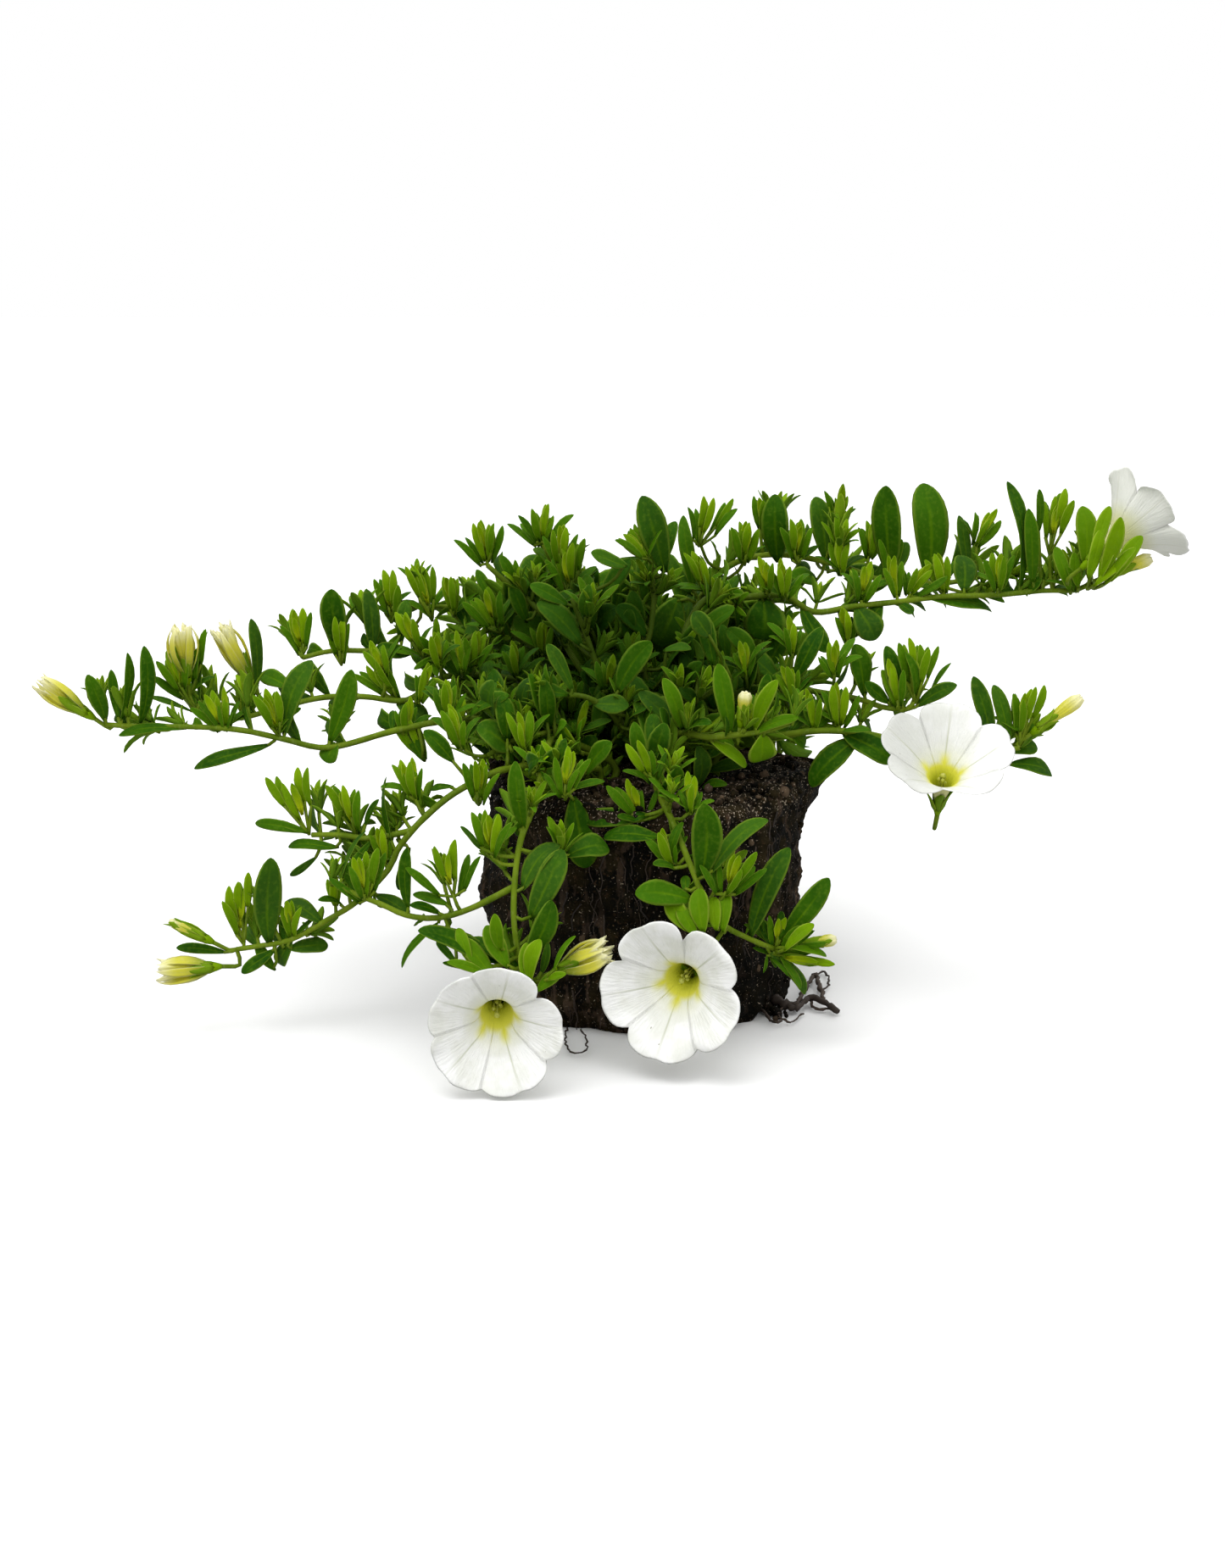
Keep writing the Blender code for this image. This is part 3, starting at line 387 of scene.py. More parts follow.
            (336, 1064, 380, 1090, 22), (387, 1115, 340, 1120, 22), (330, 1138, 345, 1108, 20),
            (285, 1148, 325, 1120, 16), (208, 1118, 268, 1124, 12), (456, 916, 462, 996, 10),
            (405, 1040, 440, 990, 12),
        ),
    },
    "centre_left": {
        "start": (-13, -8),
        "route": ((668, 858, 14), (640, 866, 20), (600, 876, 24), (575, 892, 27)),
        "tufts": ((618, 884, 610, 842, 15), (545, 888, 536, 842, 14), (575, 892, 566, 905, 10)),
        "leaves": ((562, 858, 606, 884, 40), (640, 800, 648, 862, 20)),
    },
    "centre_low": {
        "start": (-14, -21),
        "route": ((680, 915, 34), (668, 938, 42)),
        "tufts": ((667, 938, 668, 886, 24),),
        "leaves": ((640, 915, 668, 938, 12), (692, 1024, 676, 940, 40), (722, 876, 690, 915, 26)),
    },
    "centre_mid": {
        "start": (1, -8),
        "route": ((735, 860, 16), (715, 835, 20), (690, 822, 22), (672, 820, 24)),
        "tufts": ((672, 840, 672, 804, 14), (715, 828, 722, 776, 16), (735, 862, 756, 838, 12)),
        "leaves": ((742, 833, 700, 830, 26), (768, 757, 728, 818, 30), (645, 760, 676, 816, 20)),
    },
    "centre_right": {
        "start": (12, -6),
        "route": ((800, 838, 12), (830, 822, 14), (862, 800, 16)),
        "tufts": ((862, 800, 868, 762, 14), (822, 828, 836, 794, 12), (800, 838, 800, 800, 10)),
        "leaves": ((818, 722, 838, 752, 24), (816, 766, 782, 768, 15), (800, 812, 822, 832, 16)),
    },
}

# Shoot tips whose leaves can be counted: base x, y, and the tip of each leaf
FANS = (
    ((365, 985), ((313, 917), (333, 924), (351, 905), (363, 905))),
    ((420, 985), ((384, 926), (404, 926), (423, 932))),
    ((288, 1115), ((262, 1063), (270, 1045), (281, 1040), (293, 1029))),
    ((396, 1070), ((386, 1037), (394, 1033), (403, 1040))),
    ((545, 885), ((520, 838), (530, 835), (540, 840), (548, 850))),
    ((490, 945), ((462, 902), (472, 896), (484, 898), (498, 906))),
    ((565, 950), ((546, 900), (560, 897), (574, 902), (590, 912))),
    ((578, 1012), ((556, 958), (572, 955), (588, 960), (604, 970))),
    ((620, 887), ((597, 840), (612, 852), (625, 838))), ((672, 845), ((657, 803), (675, 807), (687, 803))),
    ((715, 818), ((703, 780), (722, 773), (740, 783))), ((680, 870), ((675, 852), (692, 845))),
    ((666, 940), ((641, 912), (654, 893), (670, 880), (685, 905), (697, 895))),
    ((690, 775), ((667, 752), (676, 742), (685, 745))),
    ((770, 922), ((738, 877), (752, 873), (768, 885), (786, 887), (745, 909))),
    ((815, 960), ((800, 932), (817, 925), (828, 934))),
    ((757, 965), ((715, 927), (733, 933), (757, 932), (775, 932))),
    ((935, 775), ((925, 740), (936, 735), (945, 742))), ((985, 800), ((965, 775), (978, 757), (1000, 768))),
    ((990, 860), ((968, 815), (982, 808), (998, 810), (1014, 820))),
    ((1080, 830), ((1060, 758), (1072, 752), (1085, 760), (1096, 765), (1107, 762))),
    ((1203, 880), ((1195, 818), (1207, 825), (1222, 810), (1232, 808))),
    ((793, 1022), ((760, 988), (776, 982), (797, 997))),
    ((855, 1056), ((825, 1020), (848, 1018), (875, 1025), (893, 1005), (905, 1025))),
    ((535, 1058), ((537, 990), (478, 1023), (567, 1010), (512, 998))),
    ((575, 665), ((535, 637), (558, 617), (567, 613), (577, 618), (583, 617), (593, 620))),
    ((640, 640), ((598, 618), (611, 608), (627, 600), (647, 594), (653, 608), (677, 607), (673, 630))),
    ((672, 705), ((643, 660), (654, 648), (663, 642), (676, 640), (690, 635))),
    ((765, 660), ((725, 637), (735, 630), (743, 623), (748, 618))),
    ((825, 645), ((811, 598), (823, 610), (830, 585), (842, 587), (865, 588), (870, 600))),
    ((878, 665), ((862, 622), (872, 615), (884, 616), (895, 624))),
    ((897, 625), ((889, 585), (900, 590), (907, 590))),
    ((987, 612), ((972, 579), (985, 587), (1000, 585), (1010, 600))),
    ((1150, 645), ((1150, 604), (1168, 612), (1181, 614))),
    ((1015, 712), ((1005, 670), (1018, 668), (1030, 670), (1040, 678))),
    ((1072, 703), ((1066, 672), (1082, 670), (1100, 672), (1118, 680))),
    ((357, 773), ((330, 738), (345, 718), (357, 717), (367, 722))),
    ((403, 785), ((383, 735), (395, 727), (405, 728), (412, 735))),
    ((462, 735), ((441, 683), (452, 672), (463, 672), (470, 690))),
    ((510, 733), ((478, 668), (490, 670), (498, 668), (510, 668))),
    ((535, 728), ((523, 680), (532, 680), (540, 682))), ((500, 778), ((466, 722), (478, 722), (487, 730))),
    ((520, 790), ((508, 750), (517, 745), (527, 755))), ((545, 795), ((530, 763), (545, 755), (555, 755))),
    ((590, 748), ((545, 710), (560, 705), (575, 692), (590, 697))),
    ((470, 828), ((415, 795), (432, 785), (443, 780), (452, 782))),
    ((835, 700), ((806, 652), (816, 650), (826, 658), (838, 668))),
    ((700, 800), ((669, 755), (682, 743), (690, 750))),
    ((940, 665), ((920, 622), (932, 612), (945, 612), (958, 622))),
    ((992, 680), ((978, 640), (990, 634), (1002, 640))),
    ((1025, 660), ((1012, 622), (1022, 614), (1034, 618), (1043, 630))),
    ((1050, 680), ((1037, 636), (1050, 634), (1064, 636))),
    ((925, 706), ((905, 672), (918, 668), (932, 668), (948, 678))),
    ((1058, 706), ((1042, 670), (1052, 664), (1064, 662))),
    ((1178, 698), ((1160, 660), (1170, 652), (1184, 656), (1197, 655))),
    ((1238, 655), ((1230, 590), (1245, 585), (1257, 576), (1267, 590))),
    ((215, 815), ((186, 782), (196, 768), (207, 762), (218, 765))),
    ((262, 862), ((224, 835), (240, 826), (258, 832), (275, 840))),
    ((432, 1062), ((388, 1036), (404, 1046), (432, 1004), (446, 1000), (455, 1006))),
    ((915, 1122), ((897, 1085), (907, 1080), (925, 1086), (945, 1092), (961, 1098), (888, 1118))),
    ((912, 1126), ((975, 1112), (968, 1132), (985, 1138), (930, 1152), (900, 1148))),
    ((660, 668), ((640, 632), (652, 625), (668, 622), (682, 630))),
    ((610, 730), ((588, 700), (600, 690), (614, 688), (625, 698))),
    ((560, 790), ((548, 752), (560, 745), (573, 748), (582, 760))),
    ((480, 870), ((466, 838), (478, 830), (492, 834))),
    ((530, 850), ((512, 812), (524, 806), (538, 808), (550, 818))),
    ((455, 800), ((428, 768), (440, 760), (452, 760))), ((610, 800), ((592, 768), (604, 760), (618, 762))),
    ((640, 775), ((625, 740), (638, 734), (652, 738))),
    ((745, 790), ((728, 752), (740, 745), (755, 748), (765, 760))),
    ((905, 700), ((890, 668), (900, 660), (912, 664))), ((880, 800), ((865, 770), (876, 762), (890, 768))),
    ((1000, 760), ((985, 728), (998, 720), (1012, 726))),
    ((224, 822), ((180, 798), (184, 780), (236, 762), (243, 742))),
    ((266, 862), ((233, 827), (250, 814), (268, 820), (283, 827))),
    ((330, 870), ((298, 820), (313, 812), (326, 815))), ((501, 898), ((463, 850), (480, 846), (496, 860))),
    ((536, 878), ((519, 827), (532, 821), (548, 824), (560, 838))),
    ((495, 830), ((490, 796), (501, 788), (516, 800))),
    ((1268, 698), ((1247, 655), (1258, 668), (1275, 648))),
    ((1114, 702), ((1091, 660), (1102, 653), (1117, 656))),
    ((1060, 836), ((1040, 790), (1052, 782), (1066, 790))),
    ((935, 830), ((915, 795), (928, 786), (942, 790))), ((960, 862), ((945, 826), (956, 818), (968, 824))),
    ((345, 1108), ((330, 1068), (344, 1062), (356, 1070))),
    ((430, 1060), ((412, 1022), (424, 1016), (436, 1022))),
    ((455, 1020), ((436, 985), (450, 978), (462, 986))),
)

# More leaves: tip x, y, base x, y, width in px
MORE_LEAVES = (
    (342, 1033, 375, 1010, 8), (340, 1071, 335, 1120, 20), (302, 1113, 325, 1145, 14),
    (375, 1062, 405, 1068, 10), (432, 980, 402, 1040, 8), (480, 850, 500, 898, 16), (500, 862, 536, 900, 22),
    (447, 943, 430, 975, 8), (543, 975, 568, 1003, 10), (508, 932, 535, 928, 10), (692, 845, 680, 870, 12),
    (745, 893, 703, 862, 30), (702, 868, 680, 905, 25), (757, 805, 775, 820, 12), (838, 795, 845, 840, 20),
    (819, 810, 840, 840, 12), (855, 845, 856, 870, 9), (882, 903, 830, 912, 18), (858, 926, 825, 932, 12),
    (822, 880, 822, 930, 24), (857, 742, 893, 780, 24), (1027, 862, 992, 862, 14), (1068, 770, 1080, 825, 12),
    (1122, 782, 1095, 825, 8), (1020, 805, 1050, 830, 16), (1267, 838, 1203, 884, 3),
    (515, 1110, 540, 1140, 9), (664, 1002, 625, 1085, 33), (487, 1055, 530, 1068, 12),
    (483, 1068, 520, 1078, 12), (718, 1000, 668, 1010, 34), (770, 1020, 797, 1025, 12),
    (728, 963, 755, 970, 10), (808, 1033, 808, 1052, 12), (922, 1075, 918, 1105, 10),
    (897, 1083, 912, 1118, 12), (727, 715, 697, 750, 30), (775, 762, 800, 706, 44), (742, 718, 742, 760, 18),
    (1226, 577, 1225, 630, 9), (1071, 640, 1040, 688, 22), (1133, 655, 1137, 698, 30),
    (1015, 752, 1040, 714, 30), (470, 1050, 484, 1000, 12), (483, 1080, 442, 1055, 20),
    (522, 1136, 563, 1146, 9), (647, 1112, 638, 1150, 10),
)

# Paler leaves in the same form, which count in place of the same ones in the shoots' lists
BRIGHT_LEAVES = (
    (625, 1111, 618, 1156, 20), (679, 1104, 652, 1148, 8), (668, 1149, 645, 1156, 10),
    (527, 1135, 575, 1150, 12), (583, 1078, 592, 1122, 16), (573, 1092, 600, 1142, 24),
    (547, 1108, 582, 1152, 22), (540, 1095, 556, 1138, 15), (637, 1108, 625, 1158, 20),
    (660, 1148, 633, 1170, 15), (787, 1060, 815, 1100, 24), (800, 1070, 820, 1104, 20),
    (825, 1048, 830, 1100, 24), (842, 1058, 845, 1098, 18), (857, 1052, 853, 1100, 18),
    (1245, 645, 1262, 698, 16), (1277, 597, 1280, 668, 25), (1267, 652, 1272, 694, 15),
    (975, 1128, 930, 1118, 12), (960, 1090, 925, 1122, 14),
)

# Likewise the ones that stand in front of the top right flower's tube
NEAR_LEAVES = (
    (1309, 597, 1290, 662, 16), (1322, 610, 1300, 680, 19), (1347, 632, 1310, 686, 18),
    (1340, 646, 1302, 690, 14), (1298, 625, 1284, 684, 16), (1332, 656, 1290, 692, 13),
    (1318, 640, 1296, 686, 14),
)

# Shoots behind the crown: where each leaves the soil (x, y in mm) and its further points (x, y, z in mm)
BACK_SHOOTS = {
    "back_left": ((-16, 22), ((-24, 34, 92), (-34, 52, 96), (-43, 66, 84), (-48, 74, 62), (-50, 78, 40))),
    "back_left_low": ((-11, 27), ((-14, 42, 84), (-20, 58, 74), (-24, 68, 50), (-26, 72, 24))),
    "back_middle": ((-3, 25), ((-4, 44, 98), (-4, 66, 98), (-3, 84, 84), (-1, 96, 62))),
    "back_middle_low": ((4, 27), ((8, 44, 84), (12, 60, 72), (14, 68, 48), (14, 70, 22))),
    "back_right": ((13, 26), ((22, 40, 94), (32, 58, 98), (40, 74, 86), (45, 84, 66), (47, 88, 46))),
    "back_right_low": ((19, 20), ((30, 36, 84), (38, 52, 74), (42, 60, 50), (43, 62, 26))),
}

# Where the picture shows foliage with no gaps, as an outline in its pixels
CROWN = (
    (430, 770), (450, 715), (500, 700), (560, 695), (600, 660), (650, 640), (700, 662), (745, 650),
    (770, 630), (830, 640), (880, 650), (930, 640), (1000, 655), (1050, 672), (1050, 700), (940, 702),
    (935, 745), (905, 765), (960, 790), (1010, 800), (1020, 850), (960, 850), (930, 866), (880, 870),
    (840, 895), (830, 960), (780, 960), (700, 950), (640, 955), (575, 900), (545, 860), (490, 838),
    (470, 800), (430, 790),
)
# Where the ball bulges: angle, spread of the angle, share of the height, reach in height, millimetres
BALL_LIPS = ((0.26, 0.22, 1.0, 0.4, 10), (3.25, 0.40, 0.40, 0.45, 5))
# Soil spilled at the ball's foot: the line along which it lies, in pixels, and its number of crumbs
SPILL = ((884, 1160), (918, 1200))
SPILL_CRUMBS = 90
# The root ball's outline, which hides what trails behind it
BALL_OUTLINE = ((600, 880), (930, 880), (915, 1170), (610, 1170))

# Roots on the floor: radius in mm, and pixels along each
LOOSE_ROOTS = (
    (0.25, ((668, 1212), (667, 1232), (676, 1242), (690, 1240), (692, 1226), (684, 1214))),
    (1.5, ((900, 1168), (922, 1184), (940, 1186))),
    (0.9, ((915, 1178), (938, 1190), (955, 1177), (972, 1182), (987, 1193))),
    (0.7, ((938, 1188), (948, 1170), (961, 1150), (966, 1162), (972, 1180))),
    (0.4, ((955, 1178), (962, 1190), (985, 1190))),
    (0.3, ((925, 1184), (918, 1196), (932, 1206), (948, 1196))),
    (0.3, ((961, 1152), (972, 1146), (978, 1160), (968, 1170))),
    (0.5, ((880, 1170), (898, 1190), (912, 1206), (922, 1204))),
)

# Open flowers: shoot, centre of the rim (px, py, mm towards), facing (right, up, near), radius in mm,
# angle of the first notch between two lobes in degrees, depth of the five notches as shares of the radius,
# how far the tube bows out to the right and up in mm, how much painted shade greys its left side
FLOWERS = {
    "front_left": (
        "front_left", (583.5, 1221, 91), (0, -0.24, 0.97), 18.4, 41, (0.17, 0.05, 0.08, 0.05, 0.1), (0, 4.2),
        0.1,
    ),
    "front_right": (
        "front_right", (789.5, 1172, 78), (-0.27, -0.14, 0.95), 19.9, 4, (0.12, 0.24, 0.17, 0.14, 0.08),
        (1.6, 2.4), 0.1,
    ),
    "right": (
        "right_tip", (1118, 880, 35), (0, 0.69, 0.72), 19.0, 44, (0.14, 0.17, 0.1, 0.1, 0.1), (0, 0), 1.0,
    ),
    "top_right": (
        "upper_right_long", (1357, 603, -22), (0.76, 0.62, -0.13), 16.8, 61, (0.14, 0.34, 0.34, 0.14, 0.14),
        (0, 0), 0.0,
    ),
}

# Buds: shoot, base (px, py), tip (px, py), width in px, how far they have opened, share that the sepals cover
BUDS = {
    "left_tip": ("left_long", (112, 848), (44, 804), 20, 1.0, 0.6),
    "left_second": ("left_upper", (222, 808), (213, 738), 25, 0.8, 0.62),
    "left_third": ("left_upper", (300, 812), (258, 738), 25, 1.0, 0.55),
    "lower_left_low": ("lower_left", (262, 1140), (186, 1146), 25, 1.0, 0.5),
    "lower_left_high": ("lower_left", (252, 1112), (198, 1086), 15, 0.0, 0.95),
    "front": ("front_left", (650, 1148), (720, 1119), 30, 1.0, 0.55),
    "centre": ("centre_front", (873, 858), (880, 816), 19, 0.2, 0.72),
    "front_right": ("front_right", (938, 1116), (988, 1108), 17, 0.1, 0.82),
    "right_tip": ("right_tip", (1216, 866), (1278, 821), 20, 0.15, 0.5),
    "top_right": ("upper_right_long", (1304, 680), (1360, 657), 19, 0.2, 0.6),
}

# The funnel's section from its foot to its rim: share of the depth, share of the radius
FUNNEL = (
    (0, 0.05), (0.15, 0.09), (0.35, 0.15), (0.48, 0.23), (0.56, 0.33), (0.68, 0.5), (0.8, 0.68), (0.92, 0.87),
    (1.0, 1.0),
)
LOBES = 5
# The share of the depth up to which a tube bows
TUBE_SHARE = 0.60
# The relief of a flower's rim in mm: its waves, the rise of a lobe, the dips along a lobe's vein and between
# two lobes, and how far the rim curls back
RIM_WAVE = 1.5
LOBE_RISE = 0.8
VEIN_DIP = 0.35
CREASE_DIP = 0.6
RIM_CURL = 1.7
# A bud's section from its foot to its end, shut and open: share of the length, share of the half width
BUD_SHUT = ((0, 0.34), (0.15, 0.46), (0.4, 0.66), (0.65, 0.84), (0.85, 0.80), (1.0, 0.34))
BUD_OPEN = ((0, 0.26), (0.2, 0.34), (0.5, 0.52), (0.8, 0.84), (1.0, 1.0))
# Points round and along a funnel and a bud, and the loose flaps of an open bud
FUNNEL_GRID = (100, 30)
BUD_GRID = (64, 22)
BUD_FLAPS = 6


def ray_through(px, py):
    """The direction in which the viewer sees this pixel."""
    across = (px - VIEW_CENTRE[0]) / VIEW_FOCAL
    above = (VIEW_CENTRE[1] - py) / VIEW_FOCAL
    return AWAY + RIGHT * across + UP * above


def seen(px, py, toward):
    """The point at this pixel, this many millimetres in front of the root ball's axis."""
    ray = ray_through(px, py)
    return EYE + ray * ((-toward * MM - EYE.y) / ray.y)


def on_floor(px, py, height):
    """The point at this pixel, this many millimetres above the floor."""
    ray = ray_through(px, py)
    return EYE + ray * ((height * MM - EYE.z) / ray.z)


def pixel_of(point):
    """The pixel at which a point is seen."""
    offset = point - VIEW_TARGET
    depth = VIEW_DISTANCE + offset.dot(AWAY)
    across = VIEW_CENTRE[0] + VIEW_FOCAL * offset.dot(RIGHT) / depth
    above = VIEW_CENTRE[1] - VIEW_FOCAL * offset.dot(UP) / depth
    return Vector((across, above))


def pixel_size(point):
    """The width in metres of one pixel at a point."""
    return (VIEW_DISTANCE + (point - VIEW_TARGET).dot(AWAY)) / VIEW_FOCAL


def smooth_route(points, step):
    """Points along a curve through the given points, about a step apart."""
    ends = [2 * points[0] - points[1], *points, 2 * points[-1] - points[-2]]
    route = [points[0]]
    for before, start, end, after in zip(ends, ends[1:], ends[2:], ends[3:]):
        count = max(1, round((end - start).length / step))
        for index in range(1, count + 1):
            t = index / count
            away = 2 * start + t * (end - before)
            bend = t * t * (2 * before - 5 * start + 4 * end - after)
            twist = t**3 * (3 * start - before - 3 * end + after)
            route.append((away + bend + twist) / 2)
    return route


def frame_along(axis, face):
    """A rotation whose Z is the axis and whose Y is as near to face as it can be."""
    z = axis.normalized()
    x = face.cross(z)
    if x.length < 1e-6:
        x = z.orthogonal()
    x.normalize()
    return Matrix((x, z.cross(x), z)).transposed()


def spoke(angle):
    """The level unit vector at this angle."""
    return Vector((math.cos(angle), math.sin(angle), 0))


def ball_radius(height):
    """The root ball's plain radius at a height."""
    return BALL_BASE_RADIUS + (BALL_TOP_RADIUS - BALL_BASE_RADIUS) * height / BALL_HEIGHT


def inside(pixel, outline):
    """True where a pixel lies inside an outline."""
    x, y = pixel
    found = False
    for (ax, ay), (bx, by) in zip(outline, outline[1:] + outline[:1]):
        if (ay > y) != (by > y) and x < ax + (y - ay) * (bx - ax) / (by - ay):
            found = not found
    return found


class Growth:
    """Collects the closed surfaces of one piece, with the numbers that its materials read at each point.

    leaf holds the place along, the place across and whether it is underneath, or on the outside of a flower.
    mood holds age, tone (on a flower the painted shade of its left side) and how deep in the crown a point
    lies, which sets the painted shade of leaves and stems.
    """

    def __init__(self):
        self.points = []
        self.faces = []
        self.leaf = []
        self.mood = []
        self.slots = []
        self.count = 0

    def add(self, points, faces, leaf, mood, slot):
        """Takes in one closed surface."""
        self.points.append(points)
        self.faces.extend([tuple(corner + self.count for corner in face) for face in faces])
        self.leaf.append(leaf)
        self.mood.append(np.tile(np.array(mood, float), (len(points), 1)))
        self.slots.extend([slot] * len(faces))
        self.count += len(points)

    def piece(self, name, materials):
        """The mesh object of all that was collected."""
        mesh = bpy.data.meshes.new(name)
        places = np.concatenate(self.points)
        mesh.from_pydata(places.tolist(), [], self.faces)
        # How deep inside the crown each point lies, as the third number of mood, which the materials turn
        # into painted shade
        spread = (places - np.array(CROWN_CENTRE)) / np.array(CROWN_REACH)
        mood = np.concatenate(self.mood)
        mood[:, 2] = np.clip(1 - np.linalg.norm(spread, axis=1), 0, 1)
        for title, rows in (("leaf", np.concatenate(self.leaf)), ("mood", mood)):
            numbers = mesh.attributes.new(title, "FLOAT_VECTOR", "POINT")
            numbers.data.foreach_set("vector", rows.astype(np.float32).ravel())
        for material in materials:
            mesh.materials.append(material)
        mesh.polygons.foreach_set("material_index", self.slots)
        mesh.shade_smooth()
        mesh.update()
        made = bpy.data.objects.new(name, mesh)
        bpy.context.scene.collection.objects.link(made)
        return made


@functools.cache
def sheet_faces(rows, columns):
    """The faces of a closed sheet: two grids that share their rim."""
    top = np.arange(rows * columns).reshape(rows, columns)
    under = top.copy()
    under[1:-1, 1:-1] = rows * columns + np.arange((rows - 2) * (columns - 2)).reshape(rows - 2, -1)
    faces = []
    for row in range(rows - 1):
        for column in range(columns - 1):
            across = slice(row, row + 2), slice(column, column + 2)
            (a, b), (d, c) = top[across].tolist()
            faces.append((a, d, c, b))
            (a, b), (d, c) = under[across].tolist()
            faces.append((a, b, c, d))
    return faces


@functools.cache
def ring_faces(rings, around):
    """The faces of a closed tube: rings of points with a flat face at either end."""
    faces = []
    for ring in range(rings - 1):
        for column in range(around):
            a = ring * around + column
            b = ring * around + (column + 1) % around
            faces.append((a, b, b + around, a + around))
    faces.append(tuple(range(around - 1, -1, -1)))
    faces.append(tuple(range((rings - 1) * around, rings * around)))
    return faces


class LeafStyle:
    """How a kind of leaf is shaped.

    grid is its points along and across; taper, tip and close shape its outline; stalk, fold and arch are
    shares of its width or length.
    """

    def __init__(self, grid, taper, tip, close, stalk, fold, arch, thickness=LEAF_THICKNESS):
        self.grid = grid
        self.taper = taper
        self.tip = tip
        self.close = close
        self.stalk = stalk
        self.fold = fold
        self.arch = arch
        self.thickness = thickness

    def outline(self, t):
        """The width at a share of the length: a narrow foot, widest beyond the middle and a round tip."""
        widest = (self.taper / (self.taper + self.tip * self.close)) ** (1 / self.tip)
        most = widest**self.taper * (1 - widest**self.tip) ** self.close
        blade = t**self.taper * np.clip(1 - t**self.tip, 0, 1) ** self.close / most
        return np.maximum(blade, self.stalk * (1 - t))


GROWN = LeafStyle((11, 7), 0.62, 2.2, 0.58, 0.16, 0.12, 0.09)
FILL = LeafStyle((8, 5), 0.64, 2.2, 0.58, 0.16, 0.16, 0.10)
YOUNG = LeafStyle((7, 5), 0.55, 2.7, 0.62, 0.30, 0.24, 0.08)
HEART = LeafStyle((6, 5), 0.50, 2.6, 0.68, 0.35, 0.35, -0.04)
PETAL_FOLD = LeafStyle((10, 5), 0.45, 2.6, 0.90, 0.40, -0.40, -0.10, PETAL_THICKNESS)
SEPAL = LeafStyle((8, 5), 0.35, 1.8, 0.75, 0.55, 0.35, 0.06)

# A tuft's whorls from outside in: number of leaves, where they start and how long they are as shares of the
# tuft's height, share of its widest lean, style and age
WHORLS = (
    (5, 0.00, 0.98, 1.30, YOUNG, 0.46), (3, 0.06, 0.92, 0.66, YOUNG, 0.72), (2, 0.28, 0.55, 0.25, HEART, 1.0),
)


def grow_leaf(growth, base, tip, width, facing, style, age, rng, slot=0):
    """One closed leaf from base to tip, its upper side towards facing; slot 0 is the leaves' material."""
    rows, columns = style.grid
    length = (tip - base).length
    t = np.sin(np.linspace(0, 1, rows) * math.pi / 2)[:, None] ** 1.1
    u = np.linspace(-1, 1, columns)[None, :]
    u = np.sign(u) * np.abs(u) ** 0.85
    half = width / 2 * np.maximum(style.outline(t), 0.04)
    phase = rng.uniform(0, math.tau)
    swing = rng.uniform(-1, 1)
    fold = style.fold * rng.uniform(0.6, 1.4)
    arch = style.arch * rng.uniform(0.3, 1.6) * length
    sway = 0.05 * length * swing
    x = u * half + sway * 4 * t * (1 - t)
    y = half * fold * np.abs(u) ** 1.5
    y = y + arch * 4 * t * (1 - t) * (0.6 + 0.8 * t)
    y = y + half * 0.10 * u * np.sin(math.tau * t * 1.3 + phase)
    z = t * length + 0 * u
    twist = rng.uniform(-0.35, 0.35) * (t - 0.2)
    x, y = x * np.cos(twist) - y * np.sin(twist), x * np.sin(twist) + y * np.cos(twist)
    body = style.thickness / 2 * (1 - u**4) * (1 - (2 * t - 1) ** 6)
    rib = np.exp(-((u / 0.2) ** 2)) * (1 - t) * style.thickness
    top = np.stack([x, y + body - rib * 0.35, z], -1)
    low = np.stack([x, y - body - rib * 0.8, z], -1)
    points = np.concatenate([top.reshape(-1, 3), low[1:-1, 1:-1].reshape(-1, 3)])
    along = np.broadcast_to(t, (rows, columns))
    across = np.broadcast_to(u, (rows, columns))
    leaf = np.stack([along, across, 0 * along], -1)
    below = np.stack([along, across, 0 * along + 1], -1)
    numbers = np.concatenate([leaf.reshape(-1, 3), below[1:-1, 1:-1].reshape(-1, 3)])
    pose = np.array(frame_along(tip - base, facing))
    points = points @ pose.T + np.array(base)
    growth.add(points, sheet_faces(rows, columns), numbers, (age, rng.random(), 0), slot)


def grow_tube(growth, points, radii, sides, age, tone, slot=1):
    """A closed round stem through the points; slot 1 is the stems' material in a shoot."""
    tangents = [(after - before).normalized() for before, after in zip(points, points[1:])]
    tangents = [tangents[0], *[(a + b).normalized() for a, b in zip(tangents, tangents[1:])], tangents[-1]]
    side = tangents[0].orthogonal().normalized()
    rings = []
    for point, tangent, radius in zip(points, tangents, radii):
        side = (side - tangent * side.dot(tangent)).normalized()
        other = tangent.cross(side)
        for index in range(sides):
            turn = math.tau * index / sides
            rings.append(point + (side * math.cos(turn) + other * math.sin(turn)) * radius)
    along = np.repeat(np.linspace(0, 1, len(points)), sides)
    leaf = np.stack([along, 0 * along, 0 * along], -1)
    growth.add(np.array(rings), ring_faces(len(points), sides), leaf, (age, tone, 0), slot)


def soil_start(x, y):
    """The first two points of a stem: it stands up out of the soil."""
    foot = Vector((x * MM, y * MM, BALL_HEIGHT - SOIL_GRIP))
    return [foot, foot + SKY * SOIL_RISE]


def stem_routes(plan):
    """The main route of a shoot and its branches, as smooth lists of points."""
    main = soil_start(*plan["start"]) + [seen(*place) for place in plan["route"]]
    routes = [smooth_route(main, STEM_STEP)]
    for branch in plan.get("branches", ()):
        routes.append(smooth_route([seen(*place) for place in branch], STEM_STEP))
    return routes


def nearest_stem_point(routes, pixel):
    """The point of a shoot's stems that is seen nearest to a pixel."""
    points = [point for route in routes for point in route[3:]]
    return min(points, key=lambda point: (pixel_of(point) - pixel).length)


